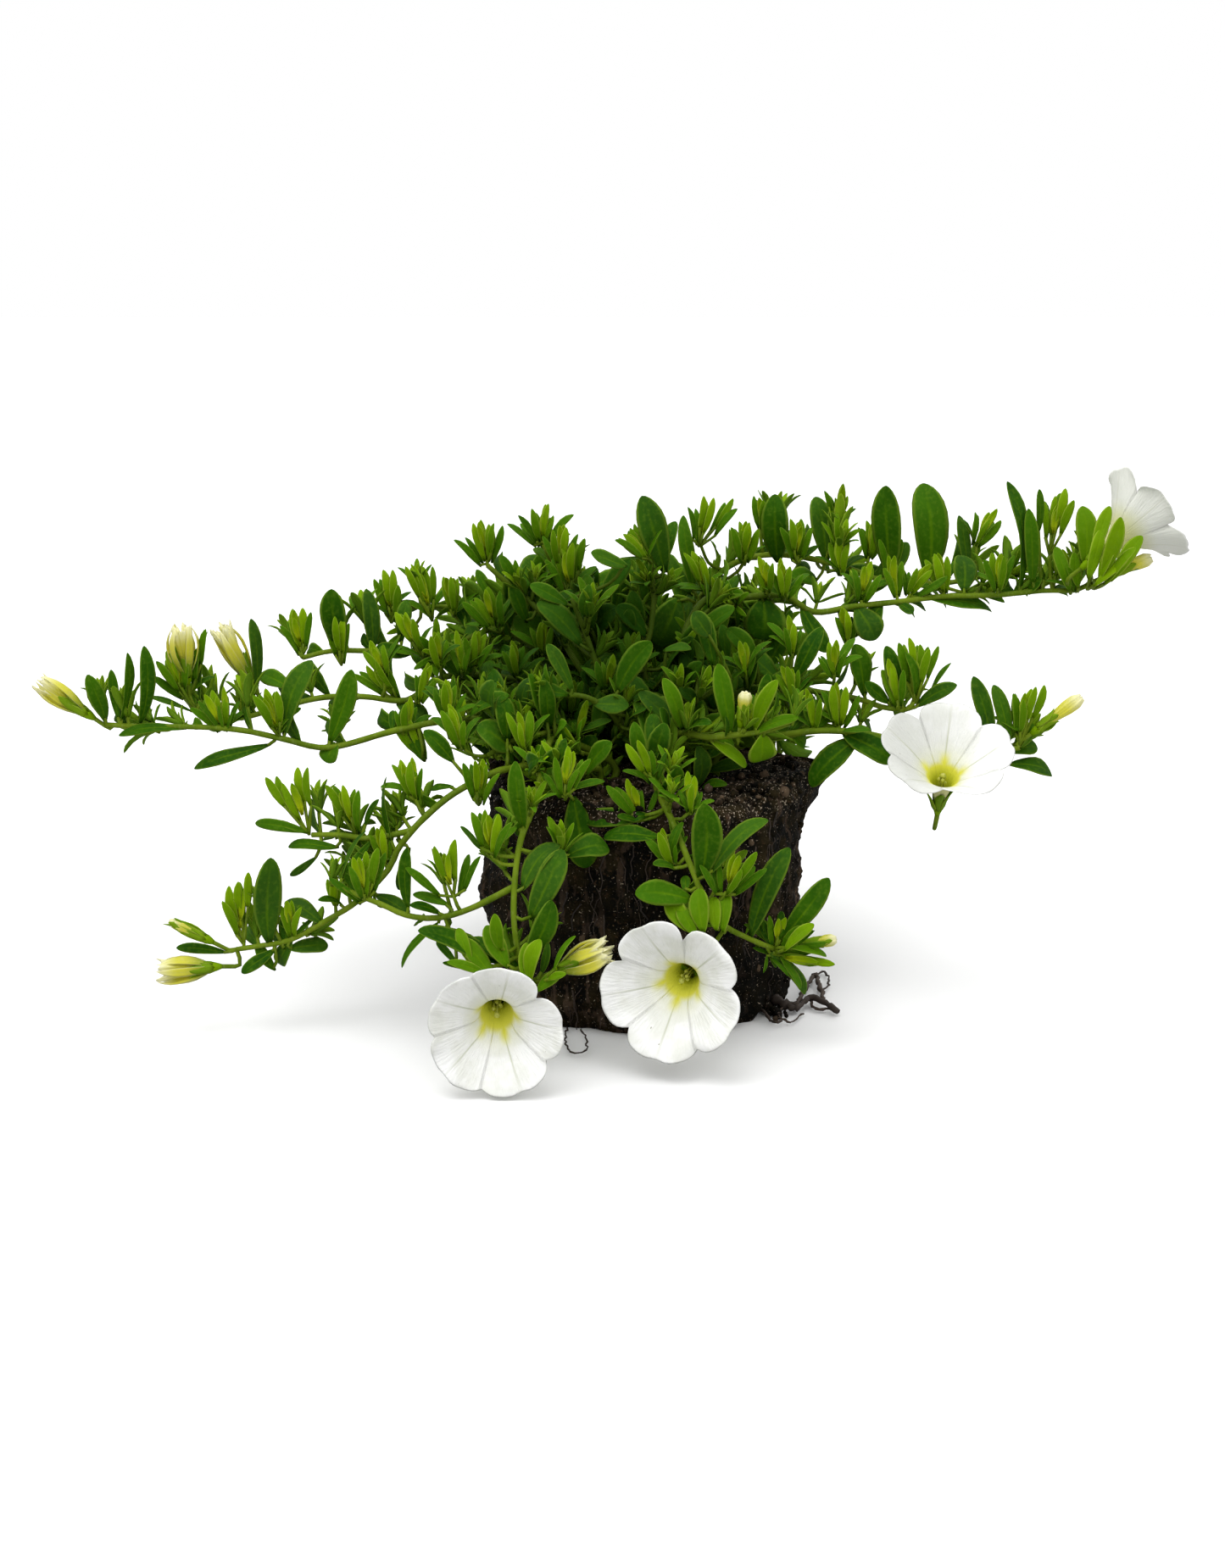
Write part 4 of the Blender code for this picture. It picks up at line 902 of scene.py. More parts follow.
def base_at(routes, pixel, shift):
    """Where a tuft or a leaf starts, and the stem point that bears it."""
    bearer = nearest_stem_point(routes, Vector(pixel))
    return seen(*pixel, -bearer.y / MM + shift), bearer


def flower_pose(name):
    """The foot of a flower's tube, the way that it faces and the radius of its rim."""
    _, (px, py, toward), facing, radius, *_ = FLOWERS[name]
    axis = (RIGHT * facing[0] + UP * facing[1] - AWAY * facing[2]).normalized()
    return seen(px, py, toward) - axis * FLOWER_DEPTH, axis, radius * MM


def funnel_radius(share):
    """The funnel's radius at a share of its depth, as a share of its full radius."""
    depths, radii = zip(*FUNNEL)
    return float(np.interp(share, depths, radii))


def tube_bow(name, share):
    """How far a flower's tube is bowed out at a share of its depth."""
    right, up = FLOWERS[name][6]
    return (RIGHT * right + UP * up) * MM * math.sin(math.pi * min(1, share / TUBE_SHARE)) ** 2


def in_a_flower(point):
    """True where a point lies in an open flower, or hides one from in front."""
    for name in FLOWERS:
        foot, axis, radius = flower_pose(name)
        offset = point - foot
        height = offset.dot(axis)
        aside = (offset - axis * height).length
        near = 0 < height < FLOWER_DEPTH + FLOWER_FREE
        if near and aside < radius * funnel_radius(min(1, height / FLOWER_DEPTH)) + FLOWER_GAP:
            return True
    return False


def in_soil_or_floor(point):
    """True where a point lies in the root ball or under the floor."""
    low = point.z < BALL_HEIGHT + MM and math.hypot(point.x, point.y) < ball_radius(point.z) + MM
    return low or point.z < MM


class Outline:
    """Tells where the picture has foliage: near the leaves and tufts read off it, or in the crown."""

    def __init__(self):
        lines = []
        for plan in SHOOTS.values():
            lines += [leaf[:4] for leaf in plan["leaves"]]
            lines += [tuft[:4] for tuft in plan["tufts"]]
        self.starts = np.array([line[:2] for line in lines], float)
        self.runs = np.array([line[2:] for line in lines], float) - self.starts
        self.guarded = []
        self.table = None

    @staticmethod
    def aside(point, starts, runs):
        """How far a point is seen from each of some lines, and at which share of the line."""
        offset = np.array(pixel_of(point)) - starts
        share = np.clip((offset * runs).sum(1) / (runs**2).sum(1), 0, 1)
        return np.hypot(*(offset - share[:, None] * runs).T), share

    def guard(self, tip, base, width):
        """Keeps the place of a leaf that was read off the picture, so that no filling hides it."""
        depths = [(point - VIEW_TARGET).dot(AWAY) for point in (tip, base)]
        reach = width / pixel_size(base) / 2 + GUARD_RIM
        self.guarded.append((*pixel_of(tip), *pixel_of(base), *depths, reach))
        self.table = None

    def hides(self, point):
        """True where a point lies in front of a guarded leaf."""
        if self.table is None:
            self.table = np.array(self.guarded)
        starts, ends = self.table[:, :2], self.table[:, 2:4]
        near, far, reach = self.table[:, 4:].T
        aside, share = self.aside(point, starts, ends - starts)
        depth = near + share * (far - near) + MM
        return bool(np.any((aside < reach) & ((point - VIEW_TARGET).dot(AWAY) < depth)))

    def holds(self, point):
        """True where the picture has foliage, or where the root ball hides what grows behind it."""
        pixel = pixel_of(point)
        if inside(pixel, CROWN) or (point.y > BEHIND and inside(pixel, BALL_OUTLINE)):
            return True
        return self.aside(point, self.starts, self.runs)[0].min() < OUTLINE_REACH


def has_room(outline, base, tip):
    """True where a leaf that isn't in the picture's plan may grow."""
    if tip.y < base.y < BEHIND and not inside(pixel_of(tip), CROWN):
        return False
    for share in (0.5, 0.8, 1.0):
        point = base.lerp(tip, share)
        if in_soil_or_floor(point) or in_a_flower(point):
            return False
        if outline.hides(point) or not outline.holds(point):
            return False
    return True


def grow_tuft(growth, base, top, spread, rng):
    """A tuft: young leaves round an axis, the inner ones shorter, steeper and paler."""
    axis = top - base
    height = axis.length
    axis.normalize()
    turn = rng.uniform(0, math.tau)
    pose = frame_along(axis, -AWAY)
    widest = min(0.95, math.atan2(spread, height * 0.75))
    index = 0
    for count, low, reach, lean_share, style, age in WHORLS:
        for _ in range(count):
            tilt = widest * lean_share * rng.uniform(0.75, 1.25)
            out = pose @ spoke(turn + index * GOLDEN)
            index += 1
            lean = (axis * math.cos(tilt) + out * math.sin(tilt)).normalized()
            start = base + axis * height * (low + rng.uniform(0, 0.08))
            length = height * reach * rng.uniform(0.82, 1.12)
            width = max(1.5 * MM, length * rng.uniform(*YOUNG_WIDTHS))
            aged = min(1, age + rng.uniform(-0.1, 0.1))
            grow_leaf(growth, start, start + lean * length, width, axis - out * 0.4, style, aged, rng)
    twig = [base - axis * MM, base, base + axis * height * 0.4]
    grow_tube(growth, twig, [TWIG_RADIUS] * len(twig), TWIG_SIDES, 0.7, 0.5)


def grow_fan(growth, routes, base_pixel, tips, outline, rng):
    """A tuft whose leaves end where the picture shows them, with a few more behind, within and below."""
    nearer = rng.uniform(5, 9) if inside(base_pixel, CROWN) else rng.uniform(-2, 2)
    base, bearer = base_at(routes, base_pixel, nearer)
    ends = [seen(*tip, -base.y / MM + rng.uniform(-3, 5)) for tip in tips]
    middle = sum(ends, Vector()) / len(ends)
    ends += [end.lerp(middle, 0.35) + AWAY * rng.uniform(3, 7) * MM for end in ends[::2]]
    axis = (middle - base).normalized()
    for end in ends:
        run = end - base
        length = min(run.length * 0.96, rng.uniform(*FAN_LENGTHS) * MM)
        start = end - (run.normalized() * 0.8 + axis * 0.2).normalized() * length
        aside = (run - axis * run.dot(axis)).length / run.length
        age = 0.78 - 0.52 * min(1, aside * 1.6) + rng.uniform(-0.08, 0.08)
        width = length * rng.uniform(*YOUNG_WIDTHS)
        facing = axis * 0.6 - run.normalized() * 0.2 - AWAY * 0.8
        grow_leaf(growth, start, end, width, facing, YOUNG, age, rng)
        outline.guard(end, start, width)
        if (start - base).length > 1.5 * MM:
            stalk = smooth_route([base, start + run.normalized() * 0.8 * MM], 3 * MM)
            grow_tube(growth, stalk, [TWIG_RADIUS * 0.8] * len(stalk), TWIG_SIDES, 0.7, 0.5)
    for _ in range(FAN_HEARTS):
        start = base.lerp(middle, rng.uniform(0.25, 0.45))
        stray = Vector((rng.uniform(-1, 1), rng.uniform(-1, 1), rng.uniform(-0.4, 1)))
        end = start + (axis + stray * 0.22) * HEART_LENGTH * MM
        grow_leaf(growth, start, end, HEART_WIDTH * MM, axis - AWAY * 0.5, HEART, 1.0, rng)
    sideways = axis.cross(AWAY).normalized()
    for side in SKIRT:
        start = base.lerp(middle, rng.uniform(0, 0.25))
        run = axis * rng.uniform(0.3, 0.8) + sideways * side * rng.uniform(0.5, 0.9)
        run += AWAY * rng.uniform(-0.3, 0.6)
        end = start + run.normalized() * rng.uniform(*SKIRT_LENGTHS) * MM
        if has_room(outline, start, end):
            width = (end - start).length * rng.uniform(*SKIRT_WIDTHS)
            grow_leaf(growth, start, end, width, axis - AWAY * 0.4, YOUNG, rng.uniform(*SKIRT_AGES), rng)
    join_to_stem(growth, bearer, base, middle, rng)


def grow_seen_leaf(growth, routes, leaf, ages, outline, rng, shift=0):
    """One grown leaf between two pixels, with an age between two ages."""
    tip_x, tip_y, base_x, base_y, seen_width = leaf
    base, bearer = base_at(routes, (base_x, base_y), shift)
    side = rng.choice((1, -1))
    nearer = 1 if inside(leaf[:2], CROWN) else side
    tip = seen(tip_x, tip_y, -base.y / MM + nearer * rng.uniform(1, 6))
    width = seen_width * pixel_size(base) * 1.04
    facing = -AWAY + SKY * rng.uniform(0.3, 1.2) + RIGHT * rng.uniform(-0.3, 0.3)
    natural = 0.20 * (tip - base).length
    if width < natural:
        turn = math.acos(width / natural) * side
        run = (tip - base).normalized()
        facing = Matrix.Rotation(turn, 3, run) @ facing
        width = natural
    grow_leaf(growth, base, tip, width, facing, GROWN, rng.uniform(*ages), rng)
    outline.guard(tip, base, width)
    join_to_stem(growth, bearer, base, tip, rng)


def grow_listed(growth, routes, plan, outline, rng):
    """The leaves and tufts of a shoot's plan, but for those that the fans and the paler leaves stand for."""
    for leaf in plan["leaves"]:
        if not any(same_leaf(leaf, other) for other in BRIGHT_LEAVES + NEAR_LEAVES):
            grow_seen_leaf(growth, routes, leaf, plan.get("ages", OLD_AGES), outline, rng)
    for tuft in plan["tufts"]:
        base_x, base_y, top_x, top_y, half_width = tuft
        centre = Vector(((base_x + top_x) / 2, (base_y + top_y) / 2))
        if any((centre - fan_centre(*fan)).length < SAME_TUFT for fan in FANS):
            continue
        base, bearer = base_at(routes, (base_x, base_y), rng.uniform(-2, 2))
        top = seen(top_x, top_y, -base.y / MM + rng.uniform(-3, 5))
        grow_tuft(growth, base, top, half_width * pixel_size(base), rng)
        join_to_stem(growth, bearer, base, top, rng)


def fan_centre(base, tips):
    """The middle of a fan in the picture."""
    x = sum(tip[0] for tip in tips) / len(tips)
    y = sum(tip[1] for tip in tips) / len(tips)
    return Vector(((base[0] + x) / 2, (base[1] + y) / 2))


def same_leaf(one, other):
    """True where two readings are of the same leaf."""
    return math.dist(one[:2], other[:2]) < SAME_TIP and math.dist(one[2:4], other[2:4]) < SAME_BASE


def nearest_shoot(routes, pixel):
    """The name of the shoot that is seen nearest to a pixel, leaving out the ones behind the crown."""
    place = Vector(pixel)
    found = {}
    for name in SHOOTS:
        found[name] = (pixel_of(nearest_stem_point(routes[name], place)) - place).length
    return min(found, key=found.get)


def join_to_stem(growth, bearer, base, beyond, rng):
    """The twig or the stalk between a stem and what it bears, which points at beyond."""
    gap = (base - bearer).length
    if gap < MM:
        return
    run = (beyond - base).normalized()
    middle = bearer.lerp(base, 0.55) - run * gap * 0.12
    points = smooth_route([bearer, middle, base + run * MM], 2.5 * MM)
    radii = np.linspace(TWIG_RADIUS * 1.15, TWIG_RADIUS * 0.9, len(points))
    grow_tube(growth, points, radii, TWIG_SIDES, 0.6, rng.random())


def turned_side(run, turn):
    """A direction square to a stem, turned round it by an angle."""
    return Matrix.Rotation(turn, 3, run) @ run.orthogonal().normalized()


def grow_fill(growth, routes, outline, rng, pace=FILL_STEP, size=1.0):
    """Leaves and tufts all along the stems, where the picture's plan has room for them."""
    for route in routes:
        walked = 0
        index = 0
        for before, point in zip(route[3:], route[4:]):
            walked += (point - before).length
            if walked < pace:
                continue
            walked = 0
            index += 1
            run = (point - before).normalized()
            for attempt in range(FILL_TRIES):
                side = turned_side(run, index * GOLDEN + attempt * 1.3)
                lean = (side + run * 0.5 + SKY * 0.45).normalized()
                length = rng.uniform(*FILL_LENGTHS) * MM * size * (1 - 0.07 * attempt)
                tip = point + lean * length
                if has_room(outline, point, tip):
                    width = length * rng.uniform(*FILL_WIDTHS)
                    age = rng.uniform(*FILL_AGES)
                    grow_leaf(growth, point, tip, width, run + SKY * 0.5, FILL, age, rng)
                    break
            if inside(pixel_of(point), CROWN) and index % 3:
                continue
            for attempt in range(FILL_TRIES):
                side = turned_side(run, index * GOLDEN + math.pi * 0.8 + attempt * 1.1)
                out = (side + run * 0.4 + SKY * 0.8).normalized()
                base = point + out * rng.uniform(1, 9) * MM
                rise = (out + SKY * 0.5).normalized()
                top = base + rise * rng.uniform(*TUFT_HEIGHTS) * MM * (1 - 0.06 * attempt)
                if has_room(outline, point, top):
                    grow_tuft(growth, base, top, rng.uniform(*TUFT_SPREADS) * MM, rng)
                    join_to_stem(growth, point, base, top, rng)
                    break


def grow_canopy(foliage, routes, outline, rng):
    """Twigs, leaves and tufts that close the crown."""
    bearers = []
    for name, lines in routes.items():
        for line in lines:
            bearers += [(name, point) for point in line[4:] if inside(pixel_of(point), CROWN)]
    for index in range(CANOPY_TRIES):
        name, point = rng.choice(bearers)
        away = Vector((rng.gauss(0, 1), rng.gauss(0, 1), rng.gauss(0.5, 0.8))).normalized()
        base = point + away * rng.uniform(2, 10) * MM + AWAY * rng.uniform(-6, 9) * MM
        stray = Vector((rng.gauss(0, 0.4), rng.gauss(0, 0.4), 0))
        lean = (away + SKY * 0.8 + AWAY * 0.2 + stray).normalized()
        young = index % 4 == 0
        top = base + lean * rng.uniform(*(CANOPY_HEIGHTS if young else CANOPY_LENGTHS)) * MM
        if not has_room(outline, base, top) or not inside(pixel_of(top), CROWN):
            continue
        growth = foliage[name]
        if young:
            grow_tuft(growth, base, top, rng.uniform(*TUFT_SPREADS) * MM, rng)
        else:
            width = (top - base).length * rng.uniform(*CANOPY_WIDTHS)
            age = rng.uniform(*CANOPY_AGES)
            grow_leaf(growth, base, top, width, SKY + away - AWAY * 0.6, FILL, age, rng)
        join_to_stem(growth, point, base, top, rng)


def grow_stems(growth, routes, rng):
    """A shoot's own stems, thinner towards their tips."""
    for index, route in enumerate(routes):
        start = STEM_RADIUS if index == 0 else STEM_RADIUS * 0.8
        radii = np.linspace(start, STEM_TIP_RADIUS, len(route))
        ripple = [1 + 0.10 * noise.noise(point / (3 * MM)) for point in route]
        grow_tube(growth, route, radii * np.array(ripple), STEM_SIDES, 0.3 + 0.2 * index, rng.random())


def grow_pedicel(growth, routes, foot, axis, rng):
    """The stalk of a flower or a bud."""
    bearer = nearest_stem_point(routes, pixel_of(foot - axis * PEDICEL_STRAIGHT))
    points = smooth_route([bearer, foot - axis * PEDICEL_STRAIGHT, foot + axis * 0.5 * MM], 2 * MM)
    radii = np.linspace(TWIG_RADIUS * 1.1, TWIG_RADIUS * 1.2, len(points))
    grow_tube(growth, points, radii, PEDICEL_SIDES, 0.7, rng.random())


def bud_pose(name, routes):
    """A bud's foot, its tip and its width."""
    shoot, base_pixel, tip_pixel, width, *_ = BUDS[name]
    foot, _ = base_at(routes[shoot], base_pixel, 0)
    tip = seen(*tip_pixel, -foot.y / MM + 2)
    return foot, tip, width * pixel_size(foot)


def grow_funnel(growth, name):
    """A flower's tube and its five lobes as one closed sheet that is open in front."""
    foot, axis, radius = flower_pose(name)
    notch_angle, notch_depths, _, left_shade = FLOWERS[name][4:]
    around, rows = FUNNEL_GRID
    share = np.linspace(0, 1, rows) ** 0.8
    knots = np.linspace(0, 1, len(FUNNEL))
    depth_of = np.interp(share, knots, [place[0] for place in FUNNEL])
    radius_of = np.interp(share, knots, [place[1] for place in FUNNEL])
    for _ in range(3):
        depth_of[1:-1] = (depth_of[:-2] + 2 * depth_of[1:-1] + depth_of[2:]) / 4
        radius_of[1:-1] = (radius_of[:-2] + 2 * radius_of[1:-1] + radius_of[2:]) / 4
    angle = np.linspace(0, math.tau, around, endpoint=False)[None, :]
    reach = radius_of[:, None]
    lobe = np.abs(np.sin(LOBES / 2 * angle))
    flare = np.clip((reach - 0.35) / 0.65, 0, 1)
    seed = sum(ord(letter) for letter in name)
    nearest = np.round(angle / math.tau * LOBES).astype(int) % LOBES
    notches = np.array(notch_depths)[nearest] * np.exp(-((lobe / 0.26) ** 1.2)) + 0.045 * (1 - lobe)
    pull = notches * flare**1.5 + 0.025 * flare**3 * np.clip((lobe - 0.94) / 0.06, 0, 1)
    across = reach * (1 - pull) * radius
    height = depth_of[:, None] * FLOWER_DEPTH + 0 * angle
    wave = np.zeros((rows, around))
    for row in range(rows):
        for column in range(around):
            spot = spoke(angle[0, column]) * reach[row, 0] * 2.2
            wave[row, column] = noise.noise(spot + Vector((0, 0, seed)))
    vein = np.exp(-(((1 - lobe) / 0.012) ** 2))
    crease = np.exp(-((lobe / 0.16) ** 2))
    ribs = np.cos(angle * LOBES * 6) * 0.07 + np.cos(angle * LOBES * 10 + 1) * 0.05
    relief = RIM_WAVE * wave * (0.4 + flare) + LOBE_RISE * lobe - VEIN_DIP * vein - CREASE_DIP * crease + ribs
    height += flare * MM * relief
    height -= RIM_CURL * MM * flare**5
    pose = np.array(frame_along(axis, UP) @ Matrix.Rotation(math.radians(notch_angle), 3, "Z"))

    def placed(skin):
        """The points of the inner skin at 1, or of the outer one at -1."""
        inward = np.clip(1 - reach * 1.2, 0, 1)
        r = across - skin * PETAL_THICKNESS / 2 * inward
        h = height + skin * PETAL_THICKNESS / 2 * (1 - inward * 0.7) * (reach < 0.999)
        grid = np.stack([r * np.cos(angle), r * np.sin(angle), h], -1) @ pose.T
        grid += np.array([tube_bow(name, share) for share in depth_of])[:, None, :]
        return grid.reshape(-1, 3) + np.array(foot)

    inner, outer = placed(1), placed(-1)[: (rows - 1) * around]
    points = np.concatenate([inner, outer])
    faces = []
    start = rows * around
    for row in range(rows - 1):
        for column in range(around):
            beside = (column + 1) % around
            a, b = row * around + column, row * around + beside
            c, d = (row + 1) * around + beside, (row + 1) * around + column
            faces.append((a, b, c, d))
            a, b = start + a, start + b
            if row < rows - 2:
                c, d = start + c, start + d
            faces.append((a, d, c, b))
    faces.append(tuple(range(around - 1, -1, -1)))
    faces.append(tuple(range(start, start + around)))
    radial = np.broadcast_to(reach, (rows, around))
    turn = np.broadcast_to(angle / math.tau * LOBES % 1, (rows, around))
    inner_leaf = np.stack([radial, turn, 0 * radial], -1).reshape(-1, 3)
    outer_leaf = np.stack([radial, turn, 0 * radial + 1], -1).reshape(-1, 3)[: (rows - 1) * around]
    growth.add(points, faces, np.concatenate([inner_leaf, outer_leaf]), (0, 0, 0), 0)
    # Painted shade: the petals turn greyer towards the flower's left side, by the share given in FLOWERS
    leftward = -((points - np.array(foot)) @ np.array(RIGHT)) / radius
    growth.mood[-1][:, 1] = np.clip(left_shade * (0.55 + 0.75 * leftward), 0, 1)


def grow_stamens(growth, name, rng):
    """A style with its stigma and five stamens, close together deep in the throat."""
    foot, axis, _ = flower_pose(name)
    pose = frame_along(axis, -UP)
    for index in range(LOBES + 1):
        last = index == LOBES
        out = pose @ spoke(index * math.tau / LOBES + rng.uniform(-0.3, 0.3)) * (0 if last else 1)
        places = ((1.5, 0.4), (4, 0.5), (7, 0.7), (12 if last else 9.5 + rng.uniform(0, 1.5), 1.0))
        line = [foot + (axis * rise + out * aside) * MM for rise, aside in places]
        line = [point + tube_bow(name, (point - foot).dot(axis) / FLOWER_DEPTH) for point in line]
        end = line[-1]
        points = smooth_route(line, 1.5 * MM)
        grow_tube(growth, points, [FILAMENT_RADIUS] * len(points), 6, 0.8, 0.5, slot=0)
        knob = [end + axis * (0.8 * MM * (step - 2) / 2) for step in range(5)]
        size = 0.9 if last else 0.6
        radii = [size * MM * part for part in (0.15, 0.75, 0.95, 0.75, 0.15)]
        grow_tube(growth, knob, radii, 8, 1.0, 0.9, slot=0)


def grow_sepals(growth, foot, axis, length, spread, seat, rng):
    """A cup with five narrow sepals that lie along what it holds."""
    pose = frame_along(axis, -AWAY)
    cup = [foot + axis * seat * share for share in (0, 0.25, 0.6, 0.9)]
    grow_tube(growth, cup, [TWIG_RADIUS * 1.2, 1.0 * MM, 1.4 * MM, 1.3 * MM], 12, 0.7, 0.5, slot=0)
    for index in range(LOBES):
        out = pose @ spoke(index * math.tau / LOBES + 0.3)
        base = foot + axis * seat * 0.55 + out * 1.2 * MM
        tip = foot + axis * length * rng.uniform(0.82, 1.12) + out * spread * rng.uniform(0.8, 1.25)
        grow_leaf(growth, base, tip, SEPAL_WIDTH, axis - out * 0.8, SEPAL, 0.52 + 0.25 * rng.random(), rng)


def grow_bud(growth, foot, tip, width, opened, rng):
    """Folded petals: a pleated and twisted bundle, ragged and hollow at its end where it has opened."""
    axis = (tip - foot).normalized()
    start = foot + axis * BUD_SEAT * 0.8
    length = (tip - start).length
    around, rows = BUD_GRID
    t = np.linspace(0, 1, rows)[:, None]
    angle = np.linspace(0, math.tau, around, endpoint=False)[None, :]
    shut = np.interp(t, *zip(*BUD_SHUT))
    wide = np.interp(t, *zip(*BUD_OPEN))
    pleat = 1 + (0.10 + 0.08 * opened) * t * np.cos(LOBES * angle + 2.6 * t)
    pleat += 0.05 * t * np.cos(3 * LOBES * angle + 2 * t + 1)
    r = width / 2 * (shut + (wide - shut) * opened) * pleat
    teeth = 0.06 * np.cos(LOBES * angle + 2.6) + 0.05 * np.cos(13 * angle + 1.3)
    teeth += 0.04 * np.cos(8 * angle + 0.7)
    z = length * (t * (0.97 - 0.05 * opened) + opened * teeth * t**4)
    inner = [(1 - 0.45 * step, 0.16 * step * opened) for step in (0.5, 1, 1.6, 2)]
    r = np.concatenate([r] + [r[-1:] * share for share, _ in inner])
    z = np.concatenate([z] + [z[-1:] - length * drop for _, drop in inner])
    t = np.concatenate([t] + [t[-1:] - drop for _, drop in inner])
    rows += len(inner)
    pose = frame_along(axis, -AWAY)
    points = np.stack([r * np.cos(angle), r * np.sin(angle), z + 0 * angle], -1).reshape(-1, 3)
    points = points @ np.array(pose).T + np.array(start)
    along = np.broadcast_to(t, (rows, around))
    turn = np.broadcast_to((angle / math.tau * LOBES + 2.6 / math.tau * t) % 1, (rows, around))
    leaf = np.stack([along, turn * 2 - 1, 0 * along], -1).reshape(-1, 3)
    growth.add(points, ring_faces(rows, around), leaf, (0.5, rng.random(), 0), 0)
    flaps = BUD_FLAPS if opened > 0.5 else 0
    for index in range(flaps):
        out = pose @ spoke(index * math.tau / flaps + rng.uniform(-0.3, 0.3))
        side = axis.cross(out)
        base = start + out * width * 0.14
        end = start + axis * length * rng.uniform(0.94, 1.06) + out * width * rng.uniform(0.26, 0.48)
        end += side * width * 0.16
        grow_leaf(growth, base, end, width * 0.46, -out, PETAL_FOLD, 0.5, rng)


def lumps_at(place, sizes):
    """The height of the soil's lumps in millimetres."""
    return sum(noise.noise(place / (size * MM)) * depth for size, depth in sizes)


def soil_depth(place, angle):
    """How far the soil stands out from or sinks into the plain shape, in metres."""
    strand = abs(noise.noise(Vector((angle * 9, place.z / (14 * MM), 3.1)))) * 0.5
    return (lumps_at(place, SIDE_LUMPS) - strand) * MM


def side_push(place, angle, z):
    """How far a point of the ball's side is moved out, in metres."""
    edge = min(1, min(z, BALL_HEIGHT - z) / (EDGE_REACH * MM))
    push = soil_depth(place, angle) - (1 - edge) * EDGE_DEPTH * MM
    low = max(0, 1 - z / (FOOT_REACH * MM))
    push -= low * max(0, noise.noise(Vector((angle * 3.4, 7.7, 0)))) * FOOT_DEPTH * MM
    for middle, spread, centre, rise, out_by in BALL_LIPS:
        swell = max(0, 1 - abs(z / BALL_HEIGHT - centre) / rise)
        push += out_by * MM * math.exp(-(((angle - middle) / spread) ** 2)) * swell
    return push


def root_ball():
    """The soil: a lathe shape whose every point is moved by noise in a few sizes."""
    base_rows = BALL_CAP_ROWS // 3
    profile = [(0.03 + 0.97 * (index / base_rows), 0, "base") for index in range(base_rows + 1)]
    profile += [(1, index / BALL_SIDE_ROWS, "side") for index in range(1, BALL_SIDE_ROWS)]
    profile += [(1 - 0.99 * index / BALL_CAP_ROWS, 1, "top") for index in range(BALL_CAP_ROWS + 1)]
    points = []
    for share, height, kind in profile:
        z = height * BALL_HEIGHT
        rim = max(0, 1 - (1 - share) * ball_radius(z) / (EDGE_INWARD * MM))
        for column in range(BALL_AROUND):
            angle = math.tau * column / BALL_AROUND
            out = spoke(angle)
            place = out * (ball_radius(z) * share) + Vector((0, 0, z))
            if kind == "side" or rim > 0:
                place += out * side_push(place, angle, z) * (1 if kind == "side" else rim)
            if kind == "top":
                place.z += (lumps_at(place, TOP_LUMPS) - 1.0 - 1.6 * rim) * MM
            points.append(place)
    growth = Growth()
    numbers = np.array([(place.z / BALL_HEIGHT, 0, 0) for place in points])
    growth.add(np.array(points), ring_faces(len(profile), BALL_AROUND), numbers, (0, 0.5, 0), 0)
    return growth


@functools.cache
def unit_ball():
    """The points and the faces of a small ball, which every crumb is made from."""
    shape = bmesh.new()
    bmesh.ops.create_icosphere(shape, subdivisions=2, radius=1)
    points = np.array([vertex.co[:] for vertex in shape.verts])
    faces = [tuple(vertex.index for vertex in face.verts) for face in shape.faces]
    shape.free()
    return points, faces


def grow_crumb(growth, place, size, depth, scale, seed, tone):
    """One crumb: a ball whose surface is moved by noise of this depth and scale."""
    unit, faces = unit_ball()
    lumps = np.array([1 + depth * noise.noise(Vector(point) * scale + seed) for point in unit])
    numbers = np.tile((0.5, 0, 0), (len(unit), 1))
    growth.add(unit * lumps[:, None] * size + place, faces, numbers, (0.5, tone, 0), 0)


def grow_crumbs(growth, rng):
    """Loose crumbs of soil: three in five on the top, the rest on the sides, and more spilled at the foot."""
    for index in range(CRUMBS):
        angle = rng.uniform(0, math.tau)
        size = rng.uniform(*CRUMB_SIZES) ** 1.4 * MM
        if index % 5 < 3:
            reach = ball_radius(BALL_HEIGHT) * math.sqrt(rng.random()) - MM
            z = BALL_HEIGHT - 0.8 * MM + rng.uniform(0, 0.8) * MM
        else:
            z = rng.uniform(1.5 * MM, BALL_HEIGHT)
            reach = ball_radius(z) - 0.4 * MM
        squash = np.array([rng.uniform(0.6, 1.2) for _ in range(3)]) * size
        place = np.array((math.cos(angle) * reach, math.sin(angle) * reach, z))
        grow_crumb(growth, place, squash, 0.35, 1.7, Vector((index, 0, 0)), rng.random())
    start, end = (Vector(pixel) for pixel in SPILL)
    for index in range(SPILL_CRUMBS):
        share = rng.random() ** 0.7
        px, py = start.lerp(end, share) + Vector((rng.gauss(0, 5), rng.gauss(0, 3)))
        size = rng.uniform(0.5, 2.0 - 0.8 * share) * MM
        place = on_floor(px, py, 1.4 * size / MM + rng.uniform(0, 2.0) * (1 - share))
        seed = Vector((0, index, 0))
        grow_crumb(growth, np.array(place), size, 0.45, 1.9, seed, rng.uniform(0.3, 0.9))


